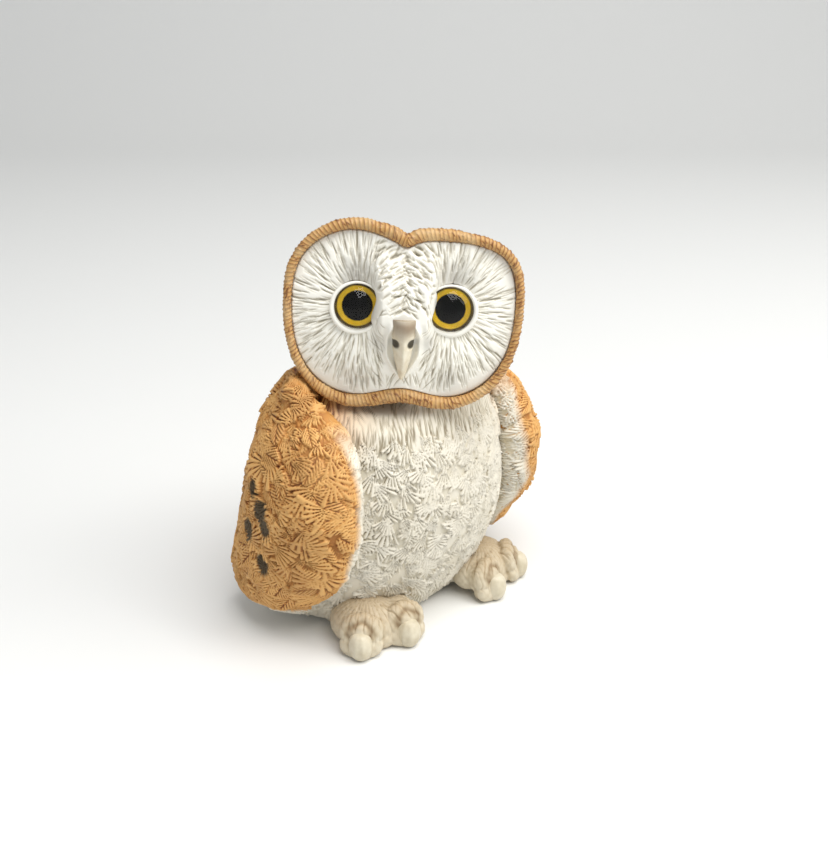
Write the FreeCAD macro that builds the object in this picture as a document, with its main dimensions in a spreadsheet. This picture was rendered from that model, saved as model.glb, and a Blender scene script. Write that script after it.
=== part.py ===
import FreeCAD, Part
import math
import os
import Sketcher

# Owl figurine, about 145 mm tall: a hollow cast bird with glass eyes, looking over its right wing.
# Millimetres. +Z is up, the body faces -Y, and the underside rests on z = 0.
# The head has its own frame: the face looks along that frame's -Y, and its X runs across the eyes.

os.makedirs("parts", exist_ok=True)
doc = FreeCAD.newDocument("OwlFigurine")
sizes = doc.addObject("Spreadsheet::Sheet", "Sizes")

DRIVING_SIZES = {
    # body casting
    "wall": 6.0,
    "pour_hole_radius": 14.0,
    "plug_lip": 2.0,
    "plug_thickness": 5.0,
    # head frame
    "head_right": -13.0,
    "head_forward": 18.0,
    "head_height": 115.2,
    "head_turn": -41.0,
    "head_tilt": 2.8,
    "head_nod": -5.0,
    # cranium
    "cranium_half_width": 36.5,
    "cranium_half_depth": 34.0,
    "cranium_half_height": 24.5,
    "cranium_setback": 8.0,
    # face outline, seen from the front
    "notch_height": 23.2,
    "lobe_side": 18.0,
    "lobe_height": 25.8,
    "left_lobe_drop": 2.2,
    "shoulder_side": 32.6,
    "shoulder_height": 18.0,
    "cheek_side": 36.2,
    "cheek_height": 1.0,
    "jaw_side": 33.5,
    "jaw_drop": 14.5,
    "corner_side": 26.5,
    "corner_drop": 24.0,
    "chin_side": 14.5,
    "chin_drop": 28.0,
    "cusp_drop": 25.0,
    "face_front": 4.0,
    "face_back": 5.0,
    "face_dome_half_width": 60.0,
    "face_dome_half_height": 50.0,
    "face_dome_depth": 24.0,
    "ruff_radius": 1.9,
    "ruff_back": 0.5,
    "ruff_clearance": 1.15,
    "clearance_half_width": 33.0,
    "clearance_forward": 30.0,
    "clearance_drop": 32.8,
    # eyes
    "eye_side": 14.7,
    "eye_height": 2.1,
    "eye_radius": 8.0,
    "eye_centre_depth": 3.0,
    "eye_flat_depth": 1.2,
    "iris_outer_radius": 7.2,
    "pupil_radius": 4.25,
    "paint_thickness": 0.6,
    "eyelid_radius": 7.9,
    "eyelid_thickness": 0.9,
    "eyelid_forward": 2.0,
    "eye_bore_radius": 7.8,
    "eye_bore_length": 12.0,
    "eye_bore_start": 1.0,
    "socket_radius": 19.0,
    "socket_setback": 15.5,
    # tail
    "tail_root_half_width": 20.0,
    "tail_tip_half_width": 26.0,
    "tail_start": 26.0,
    "tail_end": 47.0,
    "tail_thickness": 10.0,
    "tail_edge_radius": 3.0,
    # feet
    "foot_side": 26.0,
    "foot_forward": 12.0,
    "foot_height": 7.5,
    "foot_half_width": 12.5,
    "foot_half_depth": 12.0,
    "toe_radius": 7.4,
    "toe_reach": 13.0,
    "toe_height": 7.0,
    "claw_half_width": 4.2,
    "claw_half_length": 4.6,
    "claw_height": 4.6,
    "leg_rise": 1.0,
    "toe_root_overlap": 3.0,
    "toe_lengthening": 2.5,
    "toe_sink": 0.5,
    "claw_inset": 2.5,
    "claw_flattening": 0.8,
}

# name, height, distance of the centre behind the axis, half width, half depth
TORSO_SECTIONS = (
    ("base", 0.0, 13.0, 37.0, 26.0),
    ("hip", 9.0, 11.0, 41.5, 29.5),
    ("belly", 26.0, 6.0, 43.5, 32.5),
    ("waist", 46.0, 1.5, 43.0, 32.0),
    ("breast", 64.0, 0.0, 40.5, 29.5),
    ("shoulders", 80.0, 0.0, 35.5, 26.0),
    ("nape", 101.0, 1.0, 25.0, 21.0),
)

# name, height, distance of the centre out to the side, distance behind the axis, half width, half depth
WING_SECTIONS = (
    ("wing_tip", 6.5, 42.0, 19.0, 9.0, 13.0),
    ("wing_hem", 16.0, 42.5, 14.0, 13.0, 20.0),
    ("wing_low", 30.0, 42.5, 7.0, 14.5, 25.0),
    ("wing_middle", 50.0, 42.5, 0.0, 14.5, 25.0),
    ("wing_high", 67.0, 41.0, -0.5, 13.0, 22.5),
    ("wing_shoulder", 80.0, 35.8, 4.0, 10.5, 18.0),
    ("wing_top", 94.0, 27.5, 12.0, 6.5, 9.0),
)

# name, drop below the eye line, reach out of the face, half width, half depth
BEAK_SECTIONS = (
    ("beak_brow", 0.5, 3.0, 3.2, 2.0),
    ("beak_bridge", 6.0, 4.0, 4.7, 5.2),
    ("beak_hook", 13.0, 4.4, 4.2, 5.6),
    ("beak_tip", 20.0, 5.0, 1.2, 2.4),
)

# Splay of each toe from straight ahead, in degrees, away from the middle of the bird.
TOE_ANGLES = {"outer": 47.0, "inner": -14.0}

# Turns a part's +Z out of the face.
OUT_OF_FACE = FreeCAD.Rotation(FreeCAD.Vector(1, 0, 0), 90.0)

# Side of the block that keeps the feet above the resting plane.
FLOOR_BLOCK = 300.0
# Half space blocks reach this many times the head's half width.
HALF_SPACE_REACH = 4
EDGE_TOLERANCE = 0.01


def fill_sizes():
    """Write every driving size into the sheet, one named cell each."""
    rows = dict(DRIVING_SIZES)
    for name, height, back, half_width, half_depth in TORSO_SECTIONS:
        rows[name + "_height"] = height
        rows[name + "_back"] = back
        rows[name + "_half_width"] = half_width
        rows[name + "_half_depth"] = half_depth
    for name, height, side, back, half_width, half_depth in WING_SECTIONS:
        rows[name + "_height"] = height
        rows[name + "_side"] = side
        rows[name + "_back"] = back
        rows[name + "_half_width"] = half_width
        rows[name + "_half_depth"] = half_depth
    for name, drop, reach, half_width, half_depth in BEAK_SECTIONS:
        rows[name + "_drop"] = drop
        rows[name + "_reach"] = reach
        rows[name + "_half_width"] = half_width
        rows[name + "_half_depth"] = half_depth
    for number, (alias, value) in enumerate(rows.items(), start=1):
        sizes.set(f"A{number}", alias)
        sizes.set(f"B{number}", str(value))
        sizes.setAlias(f"B{number}", alias)
    doc.recompute()


def size(alias):
    """The value of one named cell."""
    return float(sizes.get(alias))


def boolean(kind, label, base, *tools):
    """A cut, a fuse or a common of finished objects."""
    if kind == "Cut" and len(tools) > 1:
        tool = doc.addObject("Part::MultiFuse", label + "_tools")
        tool.Shapes = list(tools)
    else:
        tool = tools[0]
    result = doc.addObject("Part::" + kind, label)
    result.Label = label
    result.Base = base
    result.Tool = tool
    return result


def value_of(expression):
    """The number an expression on the sheet comes to."""
    return FreeCAD.Units.Quantity(str(sizes.evalExpression(expression))).Value


def new_body(label, placement=FreeCAD.Placement()):
    """An empty body at its own placement."""
    body = doc.addObject("PartDesign::Body", label + "_form")
    body.Placement = placement
    return body


def new_sketch(body, label, role, offset=None):
    """A sketch on one of the body's own origin planes, moved along its normal by an expression."""
    sketch = body.newObject("Sketcher::SketchObject", label)
    plane = [item for item in body.Origin.OriginFeatures if item.Role == role][0]
    sketch.AttachmentSupport = [(plane, "")]
    sketch.MapMode = "FlatFace"
    if offset:
        sketch.setExpression("AttachmentOffset.Base.z", offset)
    doc.recompute()
    return sketch


def pin_point(sketch, edge, end, right, up):
    """Hold one point of an edge at two expressions, measured from the sketch's origin."""
    for kind, expression in (("DistanceX", right), ("DistanceY", up)):
        number = sketch.addConstraint(Sketcher.Constraint(kind, -1, 1, edge, end, value_of(expression)))
        sketch.setExpression(f"Constraints[{number}]", expression)


def add_polygon(sketch, corners):
    """A closed outline of straight lines through corners, each a pair of expressions."""
    points = [FreeCAD.Vector(value_of(right), value_of(up), 0) for right, up in corners]
    count = len(points)
    first = sketch.GeometryCount
    for index in range(count):
        sketch.addGeometry(Part.LineSegment(points[index], points[(index + 1) % count]), False)
    for index in range(count):
        following = first + (index + 1) % count
        sketch.addConstraint(Sketcher.Constraint("Coincident", first + index, 2, following, 1))
    for index, (right, up) in enumerate(corners):
        pin_point(sketch, first + index, 1, right, up)


# ---------------------------------------------------------------- torso

def section_ellipse(label, height, right, back, half_width, half_depth):
    """A horizontal ellipse placed by five expressions. Either half may be the longer."""
    ring = doc.addObject("Part::Ellipse", label)
    turned = value_of(half_depth) > value_of(half_width)
    turn = FreeCAD.Rotation(FreeCAD.Vector(0, 0, 1), 90.0 if turned else 0.0)
    ring.Placement = FreeCAD.Placement(FreeCAD.Vector(), turn)
    ring.setExpression("MajorRadius", half_depth if turned else half_width)
    ring.setExpression("MinorRadius", half_width if turned else half_depth)
    ring.setExpression("Placement.Base.x", right)
    ring.setExpression("Placement.Base.y", back)
    ring.setExpression("Placement.Base.z", height)
    return ring


def loft(label, rings):
    """A smooth solid through a row of rings."""
    solid = doc.addObject("Part::Loft", label)
    solid.Sections = rings
    solid.Solid = True
    solid.Ruled = False
    return solid


def torso_loft(label, inset, lowest):
    """The bird's body as a loft of ellipses, each smaller all round by an inset."""
    rings = []
    for name, *_ in TORSO_SECTIONS:
        height = f"Sizes.{name}_height"
        if name == "base":
            height = f"{height} + {lowest}"
        if name == "nape":
            height = f"{height} - {inset}"
        rings.append(section_ellipse(
            f"{label}_{name}", height, "0", f"Sizes.{name}_back",
            f"Sizes.{name}_half_width - {inset}", f"Sizes.{name}_half_depth - {inset}",
        ))
    return loft(label, rings)


def base_plug():
    """The stopper that closes the pour hole, flush with the underside."""
    body = new_body("base_plug")
    sketch = new_sketch(body, "plug_profile", "XZ_Plane")
    add_polygon(sketch, (
        ("0", "0"),
        ("Sizes.pour_hole_radius", "0"),
        ("Sizes.pour_hole_radius - Sizes.plug_lip", "Sizes.plug_thickness"),
        ("0", "Sizes.plug_thickness"),
    ))
    turn = body.newObject("PartDesign::Revolution", "plug_turn")
    turn.Profile = sketch
    turn.ReferenceAxis = (sketch, ["V_Axis"])
    turn.Angle = 360.0
    body.Tip = turn
    body.setExpression("Placement.Base.y", "Sizes.base_back")
    return body


# ---------------------------------------------------------------- wings, tail and feet

def wing_loft(label, side):
    """One folded wing as a thick lobed slab. side is -1 for the bird's right wing."""
    rings = []
    for name, *_ in WING_SECTIONS:
        rings.append(section_ellipse(
            f"{label}_{name}", f"Sizes.{name}_height", f"{side} * Sizes.{name}_side",
            f"Sizes.{name}_back", f"Sizes.{name}_half_width", f"Sizes.{name}_half_depth",
        ))
    return loft(label, rings)


def tail_form():
    """The short fanned tail, a flared slab that rests behind the body."""
    body = new_body("tail")
    sketch = new_sketch(body, "tail_outline", "XY_Plane")
    add_polygon(sketch, (
        ("-Sizes.tail_root_half_width", "Sizes.tail_start"),
        ("Sizes.tail_root_half_width", "Sizes.tail_start"),
        ("Sizes.tail_tip_half_width", "Sizes.tail_end"),
        ("-Sizes.tail_tip_half_width", "Sizes.tail_end"),
    ))
    pad = body.newObject("PartDesign::Pad", "tail_pad")
    pad.Profile = sketch
    pad.setExpression("Length", "Sizes.tail_thickness")
    doc.recompute()
    fillet = body.newObject("PartDesign::Fillet", "tail_rounding")
    end = size("tail_end")
    far_edges = [
        f"Edge{number}" for number, edge in enumerate(pad.Shape.Edges, start=1)
        if edge.BoundBox.YMin > end - EDGE_TOLERANCE and edge.BoundBox.ZMax > EDGE_TOLERANCE
    ]
    fillet.Base = (pad, far_edges)
    fillet.setExpression("Radius", "Sizes.tail_edge_radius")
    body.Tip = fillet
    return body


def ellipsoid(label, place, half_width, half_depth, half_height, turn=FreeCAD.Rotation()):
    """A full ellipsoid; place is three expressions and the halves are expressions."""
    ball = doc.addObject("Part::Ellipsoid", label)
    ball.Angle1 = -90.0
    ball.Placement = FreeCAD.Placement(FreeCAD.Vector(), turn)
    ball.setExpression("Radius1", half_height)
    ball.setExpression("Radius2", half_width)
    ball.setExpression("Radius3", half_depth)
    for axis, expression in zip("xyz", place):
        ball.setExpression("Placement.Base." + axis, expression)
    return ball


def toe_place(side, angle, reach):
    """Expressions for a point out along a toe, at a splay angle from straight ahead."""
    across = math.sin(math.radians(angle))
    ahead = math.cos(math.radians(angle))
    right = f"{side} * (Sizes.foot_side + {across:.4f} * ({reach}))"
    back = f"-Sizes.foot_forward - {ahead:.4f} * ({reach})"
    return right, back


def foot_form(name, side):
    """One foot: a low mound for the leg with two stout toes splayed in front of it."""
    lumps = [ellipsoid(
        name + "_leg",
        (f"{side} * Sizes.foot_side", "-Sizes.foot_forward", "Sizes.foot_height"),
        "Sizes.foot_half_width", "Sizes.foot_half_depth", "Sizes.foot_height + Sizes.leg_rise",
    )]
    for toe, angle in TOE_ANGLES.items():
        right, back = toe_place(side, angle, "Sizes.toe_reach - Sizes.toe_root_overlap")
        turn = FreeCAD.Rotation(FreeCAD.Vector(0, 0, 1), side * angle)
        lumps.append(ellipsoid(
            f"{name}_{toe}_toe", (right, back, "Sizes.toe_height"),
            "Sizes.toe_radius", "Sizes.toe_radius + Sizes.toe_lengthening",
            "Sizes.toe_height + Sizes.toe_sink", turn,
        ))
    foot = doc.addObject("Part::MultiFuse", name + "_form")
    foot.Shapes = lumps
    return foot


def claw_form(name, side, angle):
    """One rounded nail, standing at the front of a toe."""
    right, back = toe_place(side, angle, "Sizes.toe_reach + Sizes.toe_radius - Sizes.claw_inset")
    turn = FreeCAD.Rotation(FreeCAD.Vector(0, 0, 1), side * angle)
    return ellipsoid(
        name + "_form", (right, back, "Sizes.claw_height"),
        "Sizes.claw_half_width", "Sizes.claw_half_length - Sizes.claw_flattening",
        "Sizes.claw_height", turn,
    )


# ---------------------------------------------------------------- head

def head_place():
    """Where the head's frame sits: turned over the right wing, a little tilted and lifted."""
    origin = FreeCAD.Vector(size("head_right"), -size("head_forward"), size("head_height"))
    turn = FreeCAD.Rotation(size("head_turn"), size("head_tilt"), size("head_nod"))
    return FreeCAD.Placement(origin, turn)


def face_rim(grow=0.0):
    """The heart-like rim of the face: a smooth closed curve, grown outwards for the ruff round it."""
    half = (
        ("lobe_side", "lobe_height", 1), ("shoulder_side", "shoulder_height", 1),
        ("cheek_side", "cheek_height", 1), ("jaw_side", "jaw_drop", -1),
        ("corner_side", "corner_drop", -1), ("chin_side", "chin_drop", -1),
    )
    points = [FreeCAD.Vector(0, size("notch_height"), 0)]
    points += [FreeCAD.Vector(size(side), sign * size(up), 0) for side, up, sign in half]
    points.append(FreeCAD.Vector(0, -size("cusp_drop"), 0))
    points[1].y -= size("left_lobe_drop")
    points += [FreeCAD.Vector(-size(side), sign * size(up), 0) for side, up, sign in reversed(half)]
    grown = [point * (1.0 + grow / point.Length) for point in points]
    rim = Part.BSplineCurve()
    rim.interpolate(Points=grown, PeriodicFlag=True)
    return rim


def in_head(right=0.0, back=0.0, up=0.0, turn=FreeCAD.Rotation()):
    """A placement given in the head's own frame."""
    return head_place().multiply(FreeCAD.Placement(FreeCAD.Vector(right, back, up), turn))


def head_ball(label, right, back, up, half_width, half_depth, half_height):
    """An ellipsoid placed in the head's frame; the halves are expressions."""
    ball = doc.addObject("Part::Ellipsoid", label)
    ball.Angle1 = -90.0
    ball.setExpression("Radius1", half_height)
    ball.setExpression("Radius2", half_width)
    ball.setExpression("Radius3", half_depth)
    ball.Placement = in_head(right, back, up)
    return ball


def disc_form():
    """The face plate: a heart-shaped pad with a gently domed front."""
    body = new_body("facial_disc", in_head())
    outline = new_sketch(body, "face_outline", "XZ_Plane", "-Sizes.face_back")
    outline.addGeometry(face_rim(), False)
    pad = body.newObject("PartDesign::Pad", "face_pad")
    pad.Profile = outline
    pad.setExpression("Length", "Sizes.face_back + Sizes.face_front")
    body.Tip = pad
    dome = head_ball(
        "face_dome", 0.0, size("face_dome_depth") - size("face_front"), 0.0,
        "Sizes.face_dome_half_width", "Sizes.face_dome_depth", "Sizes.face_dome_half_height",
    )
    return boolean("Common", "domed_face", body, dome)


def eye_dish(name, side):
    """The shallow round hollow that each eye sits in."""
    ball = doc.addObject("Part::Sphere", name + "_eye_dish")
    ball.setExpression("Radius", "Sizes.socket_radius")
    back = -size("face_front") - size("socket_setback")
    ball.Placement = in_head(side * size("eye_side"), back, size("eye_height"))
    return ball


def ruff_form():
    """The rope of stiff feathers round the face: a round section swept along the grown outline."""
    radius = size("ruff_radius")
    path = face_rim(radius * size("ruff_clearance")).toShape()
    start = path.FirstParameter
    section = Part.Circle(path.valueAt(start), path.tangentAt(start), radius).toShape()
    ruff = doc.addObject("Part::Feature", "facial_ruff")
    ruff.Shape = Part.Wire(path).makePipeShell([Part.Wire(section)], True, False, 0)
    ruff.Placement = in_head(0.0, size("ruff_back"), 0.0, OUT_OF_FACE)
    return ruff


def eye_placement(side):
    """The back plane of one eye's glass, with +Z out of the face."""
    return in_head(side * size("eye_side"), size("eye_flat_depth"), size("eye_height"), OUT_OF_FACE)


def turned_part(label, side, corners):
    """A solid turned about the eye's axis from a closed outline of radius and height."""
    body = new_body(label, eye_placement(side))
    sketch = new_sketch(body, label + "_profile", "XZ_Plane")
    add_polygon(sketch, corners)
    turn = body.newObject("PartDesign::Revolution", label + "_turn")
    turn.Profile = sketch
    turn.ReferenceAxis = (sketch, ["V_Axis"])
    turn.Angle = 360.0
    body.Tip = turn
    return body


def eye_glass(name, side):
    """The clear dome: the front of a ball, cut off flat behind."""
    ball = doc.addObject("Part::Sphere", name + "_eye_ball")
    ball.setExpression("Radius", "Sizes.eye_radius")
    ball.Placement = in_head(side * size("eye_side"), size("eye_centre_depth"), size("eye_height"))
    block = doc.addObject("Part::Cylinder", name + "_eye_front")
    block.setExpression("Radius", "Sizes.eye_radius * 2")
    block.setExpression("Height", "Sizes.eye_radius * 2")
    block.Placement = eye_placement(side)
    return boolean("Common", name + "_eye_glass", ball, block)


def eye_paint(name, side):
    """The iris ring, the pupil, and the putty that beds the glass."""
    back = "-Sizes.paint_thickness"
    floor = "Sizes.eye_flat_depth - Sizes.face_back"
    iris = turned_part(name + "_iris", side, (
        ("Sizes.pupil_radius", back), ("Sizes.iris_outer_radius", back),
        ("Sizes.iris_outer_radius", "0"), ("Sizes.pupil_radius", "0"),
    ))
    pupil = turned_part(name + "_pupil", side, (
        ("0", back), ("Sizes.pupil_radius", back), ("Sizes.pupil_radius", "0"), ("0", "0"),
    ))
    putty = turned_part(name + "_eye_putty", side, (
        ("0", floor), ("Sizes.eye_bore_radius", floor), ("Sizes.eye_bore_radius", "0"),
        ("Sizes.iris_outer_radius", "0"), ("Sizes.iris_outer_radius", back), ("0", back),
    ))
    return iris, pupil, putty


def eyelid(name, side):
    """The raised rim that holds the glass."""
    ring = doc.addObject("Part::Torus", name + "_eyelid")
    ring.setExpression("Radius1", "Sizes.eyelid_radius")
    ring.setExpression("Radius2", "Sizes.eyelid_thickness")
    ring.Placement = in_head(
        side * size("eye_side"), -size("eyelid_forward"), size("eye_height"), OUT_OF_FACE
    )
    return ring


def eye_bore(name, side):
    """The hole through the face plate that takes the glass and its putty."""
    hole = doc.addObject("Part::Cylinder", name + "_eye_bore")
    hole.setExpression("Radius", "Sizes.eye_bore_radius")
    hole.setExpression("Height", "Sizes.eye_bore_length")
    hole.Placement = in_head(
        side * size("eye_side"), size("face_back") + size("eye_bore_start"), size("eye_height"), OUT_OF_FACE
    )
    return hole


def beak_form():
    """The drooping bill as a loft of ellipses down the middle of the face."""
    rings = []
    for name, *_ in BEAK_SECTIONS:
        ring = doc.addObject("Part::Ellipse", name)
        deep = size(name + "_half_depth") > size(name + "_half_width")
        long_half = "_half_depth" if deep else "_half_width"
        short_half = "_half_width" if deep else "_half_depth"
        ring.setExpression("MajorRadius", "Sizes." + name + long_half)
        ring.setExpression("MinorRadius", "Sizes." + name + short_half)
        turn = FreeCAD.Rotation(FreeCAD.Vector(0, 0, 1), 90.0 if deep else 0.0)
        ring.Placement = in_head(0.0, -size(name + "_reach"), -size(name + "_drop"), turn)
        rings.append(ring)
    return loft("beak_form", rings)


def cranium():
    """The back of the head, and the hollow inside it, both cut off behind the face plate."""
    outer = head_ball(
        "skull", 0.0, size("cranium_setback"), 0.0,
        "Sizes.cranium_half_width", "Sizes.cranium_half_depth", "Sizes.cranium_half_height",
    )
    hollow = head_ball(
        "skull_hollow", 0.0, size("cranium_setback"), 0.0, "Sizes.cranium_half_width - Sizes.wall",
        "Sizes.cranium_half_depth - Sizes.wall", "Sizes.cranium_half_height - Sizes.wall",
    )
    return half_space(outer, "skull_back", size("face_back")), half_space(
        hollow, "skull_hollow_back", size("face_back") + size("wall")
    )


def half_space(base, label, back):
    """The part of a head object that lies further back than a plane across the head."""
    block = doc.addObject("Part::Box", label + "_block")
    reach = HALF_SPACE_REACH * size("cranium_half_width")
    block.Length = reach
    block.Width = reach
    block.Height = reach
    block.Placement = in_head(-reach / 2, back, -reach / 2)
    return boolean("Common", label, base, block)


def face_clearance():
    """The room that the face plate and its ruff take up above the breast."""
    block = doc.addObject("Part::Box", "face_clearance")
    block.setExpression("Length", "2 * Sizes.clearance_half_width")
    block.setExpression("Width", "Sizes.clearance_forward + Sizes.face_back")
    block.setExpression("Height", "2 * Sizes.clearance_drop")
    block.Placement = in_head(
        -size("clearance_half_width"), -size("clearance_forward"), -size("clearance_drop")
    )
    return block


# ---------------------------------------------------------------- assembly

def above_the_floor():
    """A block that holds everything above the resting plane."""
    block = doc.addObject("Part::Box", "above_the_floor")
    block.Length = FLOOR_BLOCK
    block.Width = FLOOR_BLOCK
    block.Height = FLOOR_BLOCK
    block.Placement = FreeCAD.Placement(
        FreeCAD.Vector(-FLOOR_BLOCK / 2, -FLOOR_BLOCK / 2, 0), FreeCAD.Rotation()
    )
    return block


def build():
    """Make every part and return the finished ones by name."""
    parts = {}
    torso = torso_loft("torso", "0", "0")
    torso_hollow = torso_loft("torso_hollow", "Sizes.wall", "Sizes.wall")
    skull, skull_hollow = cranium()
    clearance = face_clearance()
    disc = disc_form()
    ruff = ruff_form()
    plug = base_plug()
    parts["base_plug"] = plug
    parts["beak"] = boolean("Cut", "beak", beak_form(), disc)
    parts["facial_ruff"] = ruff

    face_tools = []
    for name, side in (("right", -1), ("left", 1)):
        lid = eyelid(name, side)
        iris, pupil, putty = eye_paint(name, side)
        parts[name + "_eye_glass"] = eye_glass(name, side)
        parts[name + "_iris"] = iris
        parts[name + "_pupil"] = pupil
        parts[name + "_eye_putty"] = putty
        parts[name + "_eyelid"] = lid
        face_tools += [lid, eye_dish(name, side), eye_bore(name, side)]
    parts["facial_disc"] = boolean("Cut", "facial_disc", disc, *face_tools)
    parts["head_shell"] = boolean("Cut", "head_shell", skull, torso, skull_hollow)

    wings = []
    feet = []
    for name, side in (("right", -1), ("left", 1)):
        wing_form = wing_loft(name + "_wing_form", side)
        wing = boolean("Cut", name + "_wing", wing_form, torso, skull, clearance)
        wings.append(wing)
        parts[name + "_wing"] = wing
        claws = []
        for toe, angle in TOE_ANGLES.items():
            claw = claw_form(f"{name}_{toe}_claw", side, angle)
            claws.append(claw)
            parts[f"{name}_{toe}_claw"] = claw
        foot = boolean("Cut", name + "_foot", foot_form(name + "_foot", side), torso, wing_form, *claws)
        feet.append(foot)
    room = above_the_floor()
    for name, foot in zip(("right", "left"), feet):
        parts[name + "_foot"] = boolean("Common", name + "_foot_standing", foot, room)
    parts["tail"] = boolean("Cut", "tail", tail_form(), torso, *wings)
    parts["body_shell"] = boolean("Cut", "body_shell", torso, torso_hollow, plug, clearance)
    return parts


def export(parts):
    """Check every finished part and write it to its own file."""
    doc.recompute()
    for name, part in parts.items():
        shape = part.Shape
        if "Invalid" in part.State or "Error" in part.State or shape.isNull() or not shape.isValid():
            raise RuntimeError(f"{name}: bad shape, {part.State}")
        part.Label = name
        shape.exportStep(f"parts/{name}.step")
        box = shape.BoundBox
        print(f"{name:20s} solids {len(shape.Solids)} volume {shape.Volume / 1000:7.2f} cm3  "
              f"x {box.XMin:6.1f} {box.XMax:6.1f}  y {box.YMin:6.1f} {box.YMax:6.1f}  "
              f"z {box.ZMin:6.1f} {box.ZMax:6.1f}")


fill_sizes()
export(build())
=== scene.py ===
import math

import bpy
import numpy as np
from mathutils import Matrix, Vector
from mathutils.bvhtree import BVHTree


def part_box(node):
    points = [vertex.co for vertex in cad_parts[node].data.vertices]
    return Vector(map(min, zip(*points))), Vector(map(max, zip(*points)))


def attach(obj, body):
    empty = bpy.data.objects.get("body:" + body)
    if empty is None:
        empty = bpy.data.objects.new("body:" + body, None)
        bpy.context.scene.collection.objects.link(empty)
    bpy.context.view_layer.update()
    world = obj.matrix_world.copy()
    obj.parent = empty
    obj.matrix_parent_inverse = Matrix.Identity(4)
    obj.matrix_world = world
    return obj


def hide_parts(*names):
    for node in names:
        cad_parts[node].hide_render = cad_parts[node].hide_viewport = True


# Cast and painted barn owl with glass eyes. Metres in the scene; the sculpting is worked out in millimetres.

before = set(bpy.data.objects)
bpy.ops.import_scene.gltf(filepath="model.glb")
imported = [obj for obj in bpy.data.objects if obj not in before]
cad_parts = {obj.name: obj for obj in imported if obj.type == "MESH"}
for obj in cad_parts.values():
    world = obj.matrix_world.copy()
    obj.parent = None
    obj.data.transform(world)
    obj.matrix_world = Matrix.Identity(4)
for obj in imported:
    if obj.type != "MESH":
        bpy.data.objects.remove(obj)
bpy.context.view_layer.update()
MM = 0.001
random = np.random.default_rng(11)


# ---------------------------------------------------------------- vectors and the frame

def unit(vector):
    return vector / np.linalg.norm(vector)


def corners(node):
    """Lowest and highest corner of a CAD node in millimetres."""
    low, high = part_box(node)
    return np.array(low) / MM, np.array(high) / MM


def middle(*nodes):
    """Mean of the middles of some CAD nodes, in millimetres."""
    return np.mean([np.add(*corners(node)) / 2 for node in nodes], axis=0)


def round_angles(count):
    """Evenly spaced angles all the way round, in radians."""
    return np.arange(count) * 2 * math.pi / count


def node_points(node):
    """Every vertex of a CAD node, in millimetres."""
    return np.array([tuple(vertex.co / MM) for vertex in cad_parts[node].data.vertices])


def new_thing(name, data):
    """A new object in the scene."""
    thing = bpy.data.objects.new(name, data)
    bpy.context.scene.collection.objects.link(thing)
    return thing


def node_tree(node):
    """A ray-casting tree of one CAD node, in millimetres."""
    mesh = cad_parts[node].data
    points = [tuple(vertex.co / MM) for vertex in mesh.vertices]
    return BVHTree.FromPolygons(points, [tuple(face.vertices) for face in mesh.polygons])


class HeadFrame:
    """The head's own axes: across to the bird's left, up, and out of the face."""

    def __init__(self):
        self.across = unit(middle("left_iris") - middle("right_iris"))
        out = unit(middle("left_eyelid", "right_eyelid") - middle("left_iris", "right_iris"))
        self.out = unit(out - self.across * out.dot(self.across))
        self.up = np.cross(self.across, -self.out)
        self.origin = middle("left_eyelid", "right_eyelid")
        self.eye_side = np.linalg.norm(middle("left_eyelid") - middle("right_eyelid")) / 2

    def place(self, across, out, up):
        """Points of the row frame from coordinates in the head frame."""
        return (
            self.origin
            + np.multiply.outer(across, self.across)
            + np.multiply.outer(out, self.out)
            + np.multiply.outer(up, self.up)
        )

    def local(self, points):
        """Head-frame coordinates (across, out, up) of points."""
        away = points - self.origin
        return away @ self.across, away @ self.out, away @ self.up


head = HeadFrame()


# How many strokes are tried or cut on each part.
FACE_STROKES, RUFF_STROKES, THROAT_STROKES, BASE_STROKES = 2000, 900, 1300, 260


# ---------------------------------------------------------------- smooth grids

def smooth(grid, axis, width, periodic):
    """Average a grid along one axis over a window, twice, for a soft result."""
    if width < 2:
        return grid
    half = width // 2
    mode = "wrap" if periodic else "edge"
    for _ in range(2):
        padding = [(0, 0)] * grid.ndim
        padding[axis] = (half, half)
        padded = np.pad(grid, padding, mode=mode)
        total = np.cumsum(padded, axis=axis)
        zero = np.zeros_like(np.take(total, [0], axis=axis))
        total = np.concatenate([zero, total], axis=axis)
        count = grid.shape[axis]
        span = 2 * half + 1
        upper = np.take(total, np.arange(span, span + count), axis=axis)
        lower = np.take(total, np.arange(count), axis=axis)
        grid = (upper - lower) / span
    return grid


def stretch(grid, count, axis, periodic):
    """Resample a grid along one axis to a new count, smoothly."""
    old = grid.shape[axis]
    if periodic:
        grid = np.concatenate([grid, np.take(grid, [0], axis=axis)], axis=axis)
        spots = np.arange(count) * old / count
    else:
        spots = np.linspace(0, old - 1, count)
    low = np.minimum(spots.astype(int), grid.shape[axis] - 2)
    part = spots - low
    shape = [1] * grid.ndim
    shape[axis] = count
    part = part.reshape(shape)
    fine = np.take(grid, low, axis=axis) * (1 - part) + np.take(grid, low + 1, axis=axis) * part
    return smooth(fine, axis, int(count / old), periodic)


def grid_normals(points):
    """Unit normals of a grid of points that closes round its columns."""
    along = np.roll(points, -1, axis=1) - np.roll(points, 1, axis=1)
    down = np.gradient(points, axis=0)
    normal = np.cross(along, down)
    length = np.linalg.norm(normal, axis=2, keepdims=True)
    return normal / np.maximum(length, 1e-9)


def noise_grid(shape, cells, periodic):
    """Soft seeded noise over a grid, from -1 to 1, with about that many lumps each way."""
    coarse = random.uniform(-1, 1, cells)
    fine = stretch(coarse, shape[0], 0, False)
    return stretch(fine, shape[1], 1, periodic)


# ---------------------------------------------------------------- carved surfaces

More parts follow.
